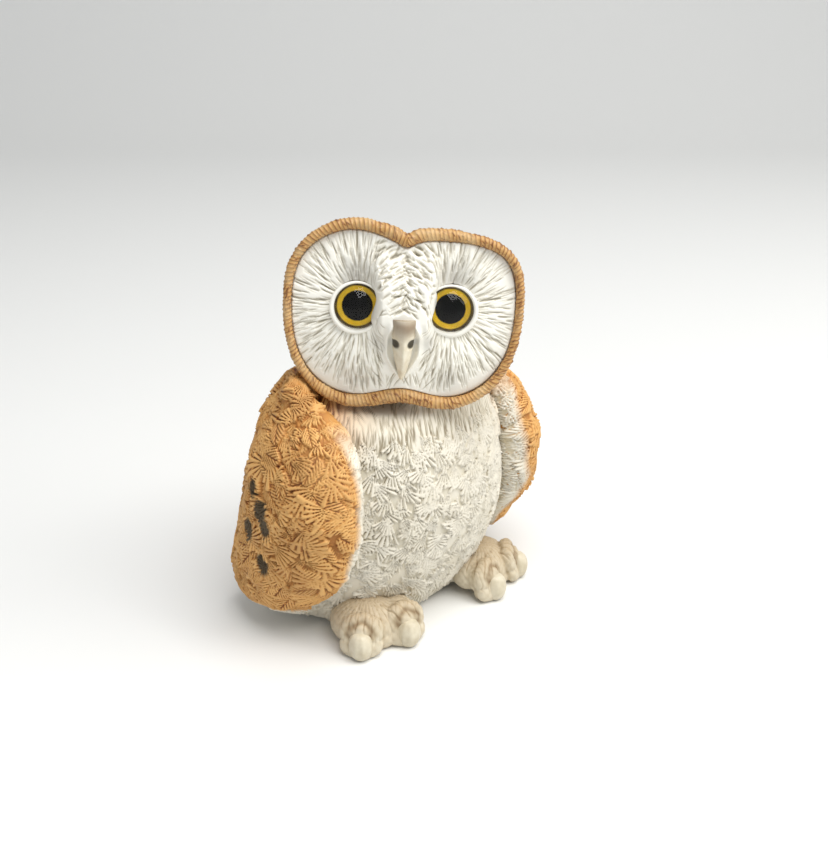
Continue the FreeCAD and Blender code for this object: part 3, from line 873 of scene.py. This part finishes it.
def make_face():
    """The white face: sockets, brow ridge, and many strokes raying out from the eyes."""
    rows, columns = 330, 900
    angle = round_angles(columns)
    part = np.linspace(FACE_EDGE, 0.004, rows)
    radius = face_radius(angle)[None, :] * part[:, None]
    across = FACE_MIDDLE[0] + radius * np.cos(angle)
    up = FACE_MIDDLE[1] + radius * np.sin(angle)
    out = face_height(across, up)
    rim = ease(part, 0.965, FACE_EDGE)[:, None]
    surface = Surface(head.place(across, out - 0.8 * rim, up))

    def way_from_eye(row, column):
        x, z = across[row, column], up[row, column]
        side = 1.0 if x >= 0 else -1.0
        away = np.array([x - side * EYE_SIDE * 0.96, z])
        if abs(x) < RIDGE_TOP and z > RIDGE_FOOT:
            away = np.array([side, -0.75])
        elif abs(x) < 6.0:
            away = np.array([side * 0.25, -1.0])
        away = away / max(np.hypot(*away), 1e-6)
        jitter = random.normal(0, 0.25 if abs(x) < RIDGE_TOP else 0.07)
        away = np.array([away[0] - jitter * away[1], away[1] + jitter * away[0]])
        return head.across * away[0] + head.up * away[1]

    for _ in range(FACE_STROKES):
        share = math.sqrt(random.uniform(0.0, 0.90))
        row = int(np.argmin(np.abs(part - share)))
        column = int(random.integers(0, columns))
        x, z = across[row, column], up[row, column]
        from_eye = math.hypot(abs(x) - EYE_SIDE, z)
        if from_eye < 8.7 and abs(x) > RIDGE_HALF_WIDTH - 1.0:
            continue
        if abs(x) < 6.6 and -23 < z < -1:
            continue
        if z < -20 and share > 0.86:
            continue
        on_ridge = abs(x) < RIDGE_TOP and z > RIDGE_FOOT
        if on_ridge and random.uniform() < 0.45:
            continue
        depth = random.uniform(0.12, 0.4) * (1.5 if on_ridge else 1.0)
        length = random.uniform(2.5, 4.5) if on_ridge else random.uniform(2.5, 7.5)
        surface.stroke(row, column, way_from_eye(row, column), length,
                       random.uniform(0.38, 0.62) * (1.7 if on_ridge else 1.0), depth)
    from_eye = np.hypot(np.abs(across) - EYE_SIDE, up)
    # Painted grey shade: above and outside each socket, low on each cheek and beside the beak, kept off the
    # glass of the eyes.
    shade = np.exp(-(np.hypot(np.abs(across) - EYE_SIDE - 1.0, up - 9.0) / 5.0) ** 2) * 0.85
    lower = np.exp(-(np.hypot(np.abs(across) - 15.0, up + 24.0) / 4.5) ** 2) * 0.4
    beside = np.exp(-(np.hypot(np.abs(across) - 8.2, (up + 11.0) * 0.7) / 2.2) ** 2) * 0.55
    surface.mask[:] = np.clip(np.maximum(np.maximum(shade, lower), beside), 0, 1)
    surface.mask[:] *= np.where(np.abs(across) > RIDGE_HALF_WIDTH - 3, from_eye > 7.2, 1.0)
    return surface_piece("face", surface, paints["face"], ["facial_disc"])


# Millimetres from one strand of the ruff to the next.
STRAND_PITCH = 1.25


def make_ruff():
    """A twisted rope of stiff feathers round the face, thicker above and below than at the sides."""
    count, turns = 2200, 40
    angle = round_angles(count)
    radius = smooth(face_radius(angle), 0, 25, True)
    path = np.stack([FACE_MIDDLE[0] + radius * np.cos(angle),
                     FACE_MIDDLE[1] + radius * np.sin(angle)], axis=1)
    along = np.roll(path, -1, axis=0) - np.roll(path, 1, axis=0)
    along /= np.linalg.norm(along, axis=1, keepdims=True)
    outward = np.stack([along[:, 1], -along[:, 0]], axis=1)
    walk = np.cumsum(np.linalg.norm(np.roll(path, -1, axis=0) - path, axis=1))
    ends = np.abs(np.sin(angle)) ** 3
    below = np.clip(-np.sin(angle), 0, 1) ** 3
    thick = 1.35 + 0.75 * ends + 0.35 * below
    lumps = smooth(random.uniform(-1, 1, count), 0, 21, True)
    thick = thick * (1 + 0.25 * lumps)
    path = path + outward * (thick * (0.45 + 0.4 * ends))[:, None]
    around = round_angles(turns)
    lean = np.cos(around)[None, :] * thick[:, None]
    rise = np.sin(around)[None, :] * thick[:, None] * 1.05
    base = face_height(path[:, 0] * 0.985, path[:, 1] * 0.985)
    base = smooth(np.clip(base, -3.0, 1.2), 0, 61, True)
    across = path[:, 0][:, None] + outward[:, 0][:, None] * lean
    up = path[:, 1][:, None] + outward[:, 1][:, None] * lean
    points = head.place(across, base[:, None] + rise - 0.1, up)
    closed = np.concatenate([points, points[:1]], axis=0)
    surface = Surface(closed)
    strand = walk[-1] / round(walk[-1] / STRAND_PITCH)
    wander = np.append(lumps, lumps[0])[:, None]
    phase = np.append(walk, walk[-1])[:, None] / strand + around[None, :] / (2 * math.pi) * 2 + 1.1 * wander
    phase[-1] = phase[0] + round(walk[-1] / strand)
    twist = np.abs(phase - np.round(phase)) * 2
    surface.groove[:] = ease(twist, 0.5, 1.0)
    surface.groove[:] *= 0.55 + 0.45 * noise_grid(surface.groove.shape, (200, 6), False)
    surface.height += 0.22 * (1 - twist ** 2) - 0.11
    for _ in range(RUFF_STROKES):
        row, column = int(random.integers(5, count - 5)), int(random.integers(0, turns))
        heading = surface.points[row + 3, column] - surface.points[row, column]
        way = turned(unit(heading), surface.normals[row, column], random.uniform(15, 60))
        surface.stroke(row, column, way, random.uniform(1.2, 2.8), 0.4, random.uniform(-0.2, 0.3))
    surface.height[-1] = surface.height[0]
    return surface_piece("ruff", surface, paints["ruff"], ["facial_ruff"])


def make_head_back():
    """The rounded back of the head, in small rust tufts, from its pole out to the heart-shaped rim."""
    across, out, up = head.local(node_points("head_shell"))
    half_width = (across.max() - across.min()) / 2
    middle_up = (up.min() + up.max()) / 2
    half_height = up.max() - middle_up
    front, back = out.max(), out.min()
    rows, columns = 250, 620
    angle = round_angles(columns)
    swing = np.linspace(0.02, math.pi / 2, rows)
    rim = face_radius(angle) + 0.3
    oval = 1 / np.hypot(np.cos(angle) / half_width, np.sin(angle) / half_height)
    blend = ease(swing, 0.9, 1.5)[:, None]
    radius = (oval[None, :] * (1 - blend) + rim[None, :] * blend) * np.sin(swing)[:, None] ** 0.9
    centre_up = middle_up * (1 - blend) + FACE_MIDDLE[1] * blend
    depth = back + (front + 3.6 - back) * (1 - np.cos(swing)[:, None] ** 1.1)
    surface = Surface(head.place(
        radius * np.cos(angle), np.broadcast_to(depth, radius.shape), centre_up + radius * np.sin(angle)
    ))

    def anywhere(row, column):
        return row > 3

    def lay(row, column):
        way = turned(unit(DOWN - head.out * (row / rows)), surface.normals[row, column],
                     random.uniform(-32, 32))
        surface.leaf(row, column, way, random.uniform(5.5, 8), random.uniform(3.8, 5),
                     random.uniform(0.5, 0.9), 0.9)

    shingle(surface, 3.6, 4.0, anywhere, lay)
    surface.height *= 1 - 0.7 * ease(swing, 1.45, 1.57)[:, None]
    return surface_piece("head_back", surface, paints["wing"], ["head_shell"], True)


def tube_piece(name, points, channels, material, nodes):
    """A closed round piece from rings of points."""
    thing = build_mesh(name, points, channels, True, True)
    return finish_piece(thing, paints[material], nodes)


def local_size(node):
    """Lowest and highest head-frame coordinates (across, out, up) of a CAD node."""
    spans = [(values.min(), values.max()) for values in head.local(node_points(node))]
    return np.array(spans).T


# A nostril: how far to the side, how far down the bill as a share, and how deep.
NOSTRIL_SIDE, NOSTRIL_PART, NOSTRIL_DEPTH = 2.5, 0.37, 1.6


def make_beak():
    """The drooping bill with a keel down its middle, two nostrils and a stained root."""
    low, high = local_size("beak")
    rows, columns = 150, 160
    part = np.linspace(0, 1, rows)[:, None]
    angle = round_angles(columns)[None, :]
    length = high[2] - low[2] + 1.5
    up = high[2] + 0.5 - part * length
    half_width = 3.9 * (1 - part ** 1.7) ** 0.75 + 0.2
    middle_out = face_height(np.full_like(up, 1.0), up) * 0.45 + 0.9 - 1.4 * part ** 3
    reach = 5.2 + 1.8 * np.sin(np.pi * np.clip(part * 1.05, 0, 1)) ** 0.8 - 4.4 * part ** 3
    across = half_width * np.cos(angle)
    lift = reach * np.sin(angle)
    keel = 0.6 * np.exp(-(across / 0.8) ** 2) * (np.sin(angle) > 0) * ease(part, 0.2, 0.45)
    out = middle_out + lift + keel
    up = up + np.zeros_like(across)
    nostril = np.zeros_like(out)
    for side in (-1, 1):
        beside = (across - side * NOSTRIL_SIDE) / 1.4
        hole = np.exp(-(beside ** 2 + ((part - NOSTRIL_PART) / 0.08) ** 2) ** 2)
        nostril = np.maximum(nostril, hole * (np.sin(angle) > 0))
    out = out - NOSTRIL_DEPTH * nostril
    lumps = noise_grid(out.shape, (16, 12), True)
    points = head.place(across + 0.12 * lumps, out + 0.15 * lumps, up)
    stain = (1 - ease(part + 0.05 * lumps - 0.05 * np.sin(angle) ** 8, 0.10, 0.30)) * (0.85 + 0.3 * lumps)
    # Darker along the bill's two side edges, where it meets the face: painted shade. The lumps vary it at
    # random.
    cavity = np.clip(0.3 + 0.3 * lumps + 0.5 * ease(np.abs(np.cos(angle)), 0.8, 1.0), 0, 1)
    spots = ease(nostril, 0.25, 0.8)
    channels = (cavity, np.full_like(out, 0.5), stain, spots)
    return tube_piece("beak", points[:, ::-1], tuple(c[:, ::-1] for c in channels),
                      "beak", ["beak"])


# The enamel is this thick, and its face lies this far inside the glass.
PAINT_DEPTH = 0.6
INSIDE_GLASS = 0.15


def lathe(centre, profile, columns=128):
    """A turned piece about an eye's axis; the profile is (radius, out) in millimetres, outside first."""
    radius, out = np.array(profile).T
    angle = round_angles(columns)
    across = centre[0] + radius[:, None] * np.cos(angle)
    up = centre[2] + radius[:, None] * np.sin(angle)
    return head.place(across, np.broadcast_to((centre[1] + out)[:, None], across.shape), up)


def arc(radius, centre_out, start, end, count):
    """Points of an arc as (radius, out), from one angle above the flat to another, in degrees."""
    angles = np.radians(np.linspace(start, end, count))
    return [(radius * math.cos(a), centre_out + radius * math.sin(a)) for a in angles]


def make_eye(name):
    """One glass eye: clear dome, iris ring, pupil, and a raised rim round it."""
    across, _, up = (float(value) for value in head.local(middle(name + "_iris")))
    flat = float(local_size(name + "_iris")[1][1])
    glass_size = local_size(name + "_eye_glass")
    front, edge_out = float(glass_size[1][1]), float(glass_size[0][1])
    centre = np.array([across, 0.0, up])
    edge_radius = float(glass_size[1][0] - glass_size[0][0]) / 2
    depth = front - edge_out
    ball_radius = (edge_radius ** 2 + depth ** 2) / (2 * depth)
    ball = front - ball_radius
    edge = math.degrees(math.asin((edge_out - ball) / ball_radius))
    glass = lathe(centre, arc(ball_radius, ball, edge, 89.2, 48))
    plain = np.full(glass.shape[:2], 0.5)
    thing = build_mesh(name + "_glass", glass, (plain, plain, plain), False, True)
    finish_piece(thing, paints["glass"], [name + "_eye_glass"])

    size = local_size(name + "_pupil")
    pupil_radius = float(size[1][0] - size[0][0]) / 2
    iris_radius = float(np.ptp(local_size(name + "_iris")[:, 0])) / 2
    steps = np.linspace(1, 0, 40)
    iris_profile = [(iris_radius, flat - PAINT_DEPTH)] + [
        (pupil_radius * 0.97 + (iris_radius - pupil_radius) * s, flat + INSIDE_GLASS) for s in steps
    ]
    iris = lathe(centre, iris_profile)
    rings = np.append([1.0], steps)[:, None] * np.ones(iris.shape[1])
    shade = np.maximum(ease(rings, 0.46, 0.62), 0.5 * (1 - ease(rings, 0.0, 0.1)))
    thing = build_mesh(name + "_iris", iris, (shade, shade * 0, shade * 0))
    finish_piece(thing, paints["iris"], [name + "_iris"])
    pupil_profile = [(pupil_radius, flat - PAINT_DEPTH)] + [
        (pupil_radius * s, flat + INSIDE_GLASS) for s in np.linspace(1, 0.02, 12)
    ]
    pupil = lathe(centre, pupil_profile)
    plain = np.full(pupil.shape[:2], 0.5)
    tube_piece(name + "_pupil", pupil, (plain, plain, plain), "pupil", [name + "_pupil"])
    return make_eyelid(name, centre)


def make_eyelid(name, centre):
    """The soft uneven rim that laps over the glass, heavier below and on the outer side."""
    rows, columns = 181, 36
    side = 1.0 if centre[0] > 0 else -1.0
    turn = np.linspace(0, 2 * math.pi, rows)
    around = round_angles(columns)
    outer_lower = np.clip(0.55 + 0.5 * (np.cos(turn) * side * 0.75 - np.sin(turn) * 0.65), 0, 1)
    lumps = smooth(random.uniform(-1, 1, rows - 1), 0, 9, True)
    lumps = np.append(lumps, lumps[0])
    heft = 0.28 + 0.50 * outer_lower + 0.14 * lumps
    radius = GLASS_RADIUS - 0.05 + 0.75 * heft
    ring = radius[:, None] + heft[:, None] * np.cos(around)[None, :]
    out = -0.9 + 0.7 * outer_lower[:, None] + heft[:, None] * np.sin(around)[None, :]
    across = centre[0] + ring * np.cos(turn)[:, None]
    up = centre[2] + ring * np.sin(turn)[:, None]
    cavity = np.full(across.shape, 0.25)
    points = head.place(across, out, up)[:, ::-1]
    thing = build_mesh(name + "_eyelid", points, (cavity, cavity, cavity * 0))
    return finish_piece(thing, paints["face"], [name + "_eyelid"])


# ---------------------------------------------------------------- feet, claws and tail

def lump_mesh(lumps, voxel, rounds):
    """Vertices and faces of several ellipsoids melted into one form."""
    mesh = bpy.data.meshes.new("lumps")
    vertices, faces = [], []
    rings, spokes = 24, 32
    for centre, halves, turn in lumps:
        start = len(vertices)
        spin = math.radians(turn)
        for ring in range(rings + 1):
            tilt = math.pi * ring / rings
            for spoke in range(spokes):
                swing = 2 * math.pi * spoke / spokes
                x = halves[0] * math.sin(tilt) * math.cos(swing)
                y = halves[1] * math.sin(tilt) * math.sin(swing)
                vertices.append((
                    centre[0] + x * math.cos(spin) - y * math.sin(spin),
                    centre[1] + x * math.sin(spin) + y * math.cos(spin),
                    centre[2] - halves[2] * math.cos(tilt),
                ))
        for ring in range(rings):
            for spoke in range(spokes):
                after = (spoke + 1) % spokes
                row, above = start + ring * spokes, start + (ring + 1) * spokes
                faces.append((row + spoke, row + after, above + after, above + spoke))
    mesh.from_pydata(vertices, [], faces)
    thing = new_thing("lumps", mesh)
    remesh = thing.modifiers.new("melt", "REMESH")
    remesh.mode = "VOXEL"
    remesh.voxel_size = voxel
    soft = thing.modifiers.new("soften", "SMOOTH")
    soft.iterations = rounds
    soft.factor = 0.6
    done = bpy.data.meshes.new_from_object(thing.evaluated_get(bpy.context.evaluated_depsgraph_get()))
    bpy.data.objects.remove(thing)
    return done


def free_piece(name, mesh, points, channels, material, nodes):
    """A piece from a melted mesh with its vertices moved to new places."""
    mesh.name = name
    mesh.vertices.foreach_set("co", (points * MM).astype(np.float32).ravel())
    write_paint(mesh, channels)
    mesh.polygons.foreach_set("use_smooth", np.ones(len(mesh.polygons), dtype=bool))
    mesh.update()
    return finish_piece(new_thing(name, mesh), paints[material], nodes)


def mesh_arrays(mesh):
    """Places and normals of a mesh's vertices."""
    count = len(mesh.vertices)
    points = np.empty(count * 3)
    normals = np.empty(count * 3)
    mesh.vertices.foreach_get("co", points)
    mesh.vertices.foreach_get("normal", normals)
    return points.reshape(-1, 3), normals.reshape(-1, 3)


# Fine creases run along each toe this far apart, in millimetres.
CREASE_GAP = 1.5


def make_foot(name, side):
    """A stout two-toed foot: a mound for the leg, and toes with cuffed knuckles and fine creases."""
    low, high = corners(name + "_foot")
    leg = np.array([(low[0] + high[0]) / 2, high[1] - 11.0, 6.5])
    lumps = [(leg, (12.5, 12.5, 9.0), 0.0), (leg + (0, -5, -3), (9.0, 8.0, 5.5), 0.0)]
    toes = []
    outer_way = unit((middle(f"{name}_outer_claw") - leg) * (1, 1, 0))
    for toe, lean in (("inner", 1.1), ("outer", 0.0)):
        claw = middle(f"{name}_{toe}_claw")
        way = unit(unit((claw - leg) * (1, 1, 0)) + lean * outer_way)
        turn = math.degrees(math.atan2(way[0], -way[1]))
        aside = np.array([-way[1], way[0], 0.0])
        knuckle = claw - way * 4.8 + (0, 0, 3.6)
        lumps.append((knuckle, (7.6, 5.8, 6.2), turn))
        lumps.append((knuckle - way * 6.0 + (0, 0, -0.6), (7.0, 7.0, 6.2), turn))
        lumps.append((claw - way * 3.0 + (0, 0, -0.6), (7.4, 4.2, 4.6), turn))
        toes.append((claw, way, aside))
    back_lobe = leg + np.array([side * 9.5, -8.5, -3.2])
    lumps.append((back_lobe, (3.6, 4.6, 3.6), 0.0))
    mesh = lump_mesh(lumps, voxel=0.34, rounds=4)
    points, normals = mesh_arrays(mesh)
    crease = np.zeros(len(points))
    cuff = np.zeros(len(points))
    collar = np.zeros(len(points))
    nearest = np.full(len(points), 1e6)
    for claw, way, aside in toes:
        away = points - claw
        along, across, height = away @ way, away @ aside, away[:, 2]
        near = np.exp(-(across / 7.8) ** 4) * (along > -16) * (along < 6)
        bend = along + 0.3 * (height - 5.5) + 0.3 * np.sin(across * 1.1 + claw[1])
        band = near * np.exp(-((bend + 3.0) / 1.8) ** 2)
        collar = np.maximum(collar, band)
        wobble = 0.35 * np.sin(along * 0.8 + claw[0]) + 0.2 * np.sin(along * 1.9)
        line = np.abs(np.sin((across + wobble) * math.pi / CREASE_GAP))
        closer = np.abs(across) < nearest
        behind_nail = np.maximum(band, 0.35 * near * (along < -3)) * ease(height, -2.0, 3.0)
        crease = np.where(closer, np.clip(0.36 - line, 0, 1) / 0.36 * behind_nail, crease)
        nearest = np.where(closer, np.abs(across), nearest)
        for ring, deep in ((-0.5, 1.0), (-5.8, 0.6)):
            cuff = np.maximum(cuff, near * deep * np.exp(-((bend - ring) / 0.6) ** 2))
    swing = np.arctan2(points[:, 0] - leg[0], -(points[:, 1] - leg[1]))
    folds = np.abs(np.sin(swing * 16 + 0.5 * np.sin(points[:, 2] * 0.7) + side))
    leg_part = 1 - ease(np.hypot(points[:, 0] - leg[0], points[:, 1] - leg[1]), 10.0, 15.0)
    crease = np.maximum(crease, np.clip(0.4 - folds, 0, 1) / 0.4 * ease(points[:, 2], 9.5, 12.0))
    grain = np.sin(points[:, 0] * 2.1 + 1.7 * np.sin(points[:, 1] * 1.3)) * np.sin(points[:, 2] * 1.9)
    lift = 0.1 * grain + 0.8 * collar - 0.4 * crease - 0.7 * cuff
    points = points + normals * lift[:, None]
    points[:, 2] = np.maximum(points[:, 2], 0.0)
    # The creases and cuffs are painted darker, partly as a wash and partly as painted shade; the wash
    # channel makes the foot a darker brown higher up and round the leg.
    cavity = np.clip(0.26 + 0.55 * crease + 0.65 * cuff + 0.10 * grain, 0, 1)
    wash = np.maximum(ease(points[:, 2], 9, 16) * 0.8, 0.5 * leg_part)
    channels = (cavity, cavity * 0 + 0.5, wash)
    return free_piece(name + "_foot_skin", mesh, points, channels, "foot", [name + "_foot"])


# The size of a carved nail against the plain nail's box, along X, Y and Z.
NAIL_SCALE = (0.98, 1.08, 1.12)


def make_claw(node):
    """A big rounded upright nail with a flattened front and faint ridges."""
    low, high = corners(node)
    centre = (low + high) / 2
    halves = (high - low) / 2 * NAIL_SCALE
    centre[2] = low[2] + halves[2]
    rows, columns = 60, 64
    tilt = np.linspace(0.03, math.pi - 0.03, rows)[:, None]
    swing = round_angles(columns)[None, :]
    round_xy = np.sin(tilt) ** 0.7
    ridge = 1 + 0.02 * np.cos(swing * 9)
    points = np.stack([
        centre[0] + halves[0] * round_xy * np.cos(swing) * ridge,
        centre[1] + halves[1] * round_xy * np.sin(swing) * ridge,
        centre[2] - halves[2] * np.cos(tilt) * np.ones_like(swing),
    ], axis=-1)
    # The nail is painted darker towards its bottom, where it stands on the floor, as painted shade, and
    # faintly striped along its ridges.
    rim = np.clip(1 - tilt / 0.5, 0, 1) + 0 * swing
    cavity = np.clip(0.25 + 0.35 * rim + 0.1 * np.cos(swing * 9), 0, 1)
    return tube_piece(node + "_nail", points, (cavity, cavity, cavity * 0), "claw", [node])


# Millimetres from the middle of one tail feather to the next.
FEATHER_PITCH = 5.4


def make_tail():
    """The short fanned tail: long ribbed feathers lying side by side."""
    low, high = corners("tail")
    rows, columns = 200, 420
    part = np.linspace(0, 1, rows)
    back = low[1] - 6 + (high[1] - low[1] + 6) * part
    half_width = (high[0] - low[0]) / 2 * (0.80 + 0.20 * part)
    tip = np.sqrt(1 - np.clip((part - 0.9) / 0.1, 0, 1) ** 2 * 0.98)
    half_width = half_width * (0.9 + 0.1 * tip)
    half_height = (high[2] - low[2]) / 2 * (1.15 - 0.25 * part) * tip
    angle = round_angles(columns)
    cosine, sine = np.cos(angle), np.sin(angle)
    across = half_width[:, None] * np.sign(cosine) * np.abs(cosine) ** 0.6
    height = half_height[:, None] * np.sign(sine) * np.abs(sine) ** 0.6
    middle_height = np.maximum(half_height, 0.5)[:, None] + 0.4
    up = middle_height + height + 2.0 * (1 - part[:, None])
    points = np.stack([across, np.broadcast_to(back[:, None], across.shape), up], axis=-1)
    surface = Surface(points[:, ::-1])
    surface.points[..., 2] = np.maximum(surface.points[..., 2], 0.0)
    for feather in range(-4, 5):
        for row_part, length in ((0.05, 15.0), (0.35, 14.0)):
            row = int(rows * row_part)
            aside = feather * FEATHER_PITCH + (FEATHER_PITCH / 2 if row_part > 0.2 else 0.0)
            place = np.array([aside, back[row], high[2]])
            gap = np.linalg.norm(surface.points[row] - place, axis=1)
            column = int(np.argmin(gap))
            way = unit(np.array([feather * 0.04, 1.0, -0.1]))
            surface.leaf(row, column, way, length, 6.4, 1.4, 1.6)
    surface.mask[:] = ease(-surface.normals[..., 2], 0.1, 0.6)
    return surface_piece("tail_feathers", surface, paints["wing"], ["tail"], True, True)


# ---------------------------------------------------------------- the whole owl

make_torso()
for wing_name, wing_side in (("right", -1), ("left", 1)):
    make_wing(wing_name, wing_side)
    make_foot(wing_name, wing_side)
    make_eye(wing_name)
    for toe_name in ("inner", "outer"):
        make_claw(f"{wing_name}_{toe_name}_claw")
make_face()
make_ruff()
make_head_back()
make_beak()
make_tail()
for shown_node, finish in (
    ("right_eye_putty", "putty"), ("left_eye_putty", "putty"), ("base_plug", "plug"),
):
    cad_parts[shown_node].data.materials.clear()
    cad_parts[shown_node].data.materials.append(paints[finish])


# ---------------------------------------------------------------- stage, light and camera

CAMERA_AZIMUTH = -43.0
CAMERA_ELEVATION = 24.0
CAMERA_DISTANCE = 0.420
CAMERA_LENS = 48.6
AIM = Vector((0.0212, 0.0139, 0.0555))
LIGHT_AIM = Vector((0, 0, 0.07))


def make_stage():
    """A pale floor that curves up into a plain wall behind."""
    wide, near, far, bend, tall = 3.0, -1.6, 0.9, 0.6, 2.4
    outline = [(near, 0.0)]
    for step in range(25):
        angle = math.radians(90 * step / 24)
        outline.append((far + bend * math.sin(angle), bend - bend * math.cos(angle)))
    outline.append((far + bend, tall))
    turn = math.radians(CAMERA_AZIMUTH)
    vertices, faces = [], []
    for across in (-wide, wide):
        for back, height in outline:
            vertices.append((
                across * math.cos(turn) - back * math.sin(turn),
                across * math.sin(turn) + back * math.cos(turn), height,
            ))
    count = len(outline)
    for index in range(count - 1):
        faces.append((index, count + index, count + index + 1, index + 1))
    mesh = bpy.data.meshes.new("floor")
    mesh.from_pydata(vertices, [], faces)
    mesh.polygons.foreach_set("use_smooth", [True] * len(mesh.polygons))
    material = bpy.data.materials.new("floor")
    material.use_nodes = True
    shader = material.node_tree.nodes["Principled BSDF"]
    shader.inputs["Base Color"].default_value = (0.82, 0.82, 0.80, 1.0)
    shader.inputs["Roughness"].default_value = 0.55
    mesh.materials.append(material)
    new_thing("floor", mesh)


def direction(azimuth, elevation):
    """Unit vector from the owl towards a direction given in degrees."""
    turn, lift = math.radians(azimuth), math.radians(elevation)
    return Vector((math.sin(turn) * math.cos(lift), -math.cos(turn) * math.cos(lift), math.sin(lift)))


def make_camera():
    """The camera, level, at the distance and height that the owl is seen from."""
    data = bpy.data.cameras.new("camera")
    data.sensor_fit = "HORIZONTAL"
    data.sensor_width = 36.0
    data.lens = CAMERA_LENS
    data.clip_start = 0.01
    back = direction(CAMERA_AZIMUTH, CAMERA_ELEVATION)
    thing = new_thing("camera", data)
    thing.location = AIM + back * CAMERA_DISTANCE
    thing.rotation_euler = (-back).to_track_quat("-Z", "Y").to_euler()
    bpy.context.scene.camera = thing


def add_light(name, azimuth, elevation, distance, size, power, colour=(1.0, 1.0, 1.0)):
    """A soft square light aimed at the owl from a direction in degrees."""
    away = direction(azimuth, elevation)
    data = bpy.data.lights.new(name, "AREA")
    data.size = size
    data.energy = power
    data.color = colour
    thing = new_thing(name, data)
    thing.location = LIGHT_AIM + away * distance
    thing.rotation_euler = (-away).to_track_quat("-Z", "Y").to_euler()


def make_light():
    """Soft studio light: a pale world, one big light overhead and one to the side."""
    world = bpy.data.worlds.new("studio")
    world.use_nodes = True
    background = world.node_tree.nodes["Background"]
    background.inputs["Color"].default_value = (0.95, 0.97, 1.0, 1.0)
    background.inputs["Strength"].default_value = 0.46
    bpy.context.scene.world = world
    add_light("overhead", azimuth=-5.0, elevation=68.0, distance=1.1, size=0.8, power=12.0)
    add_light("window", azimuth=35.0, elevation=35.0, distance=1.3, size=0.8, power=6.5,
              colour=(1.0, 0.985, 0.96))
    bpy.context.scene.view_settings.view_transform = "Standard"


make_stage()
make_camera()
make_light()


def plain(box):
    """A box as lists of plain numbers."""
    return [[float(value) for value in corner] for corner in box]
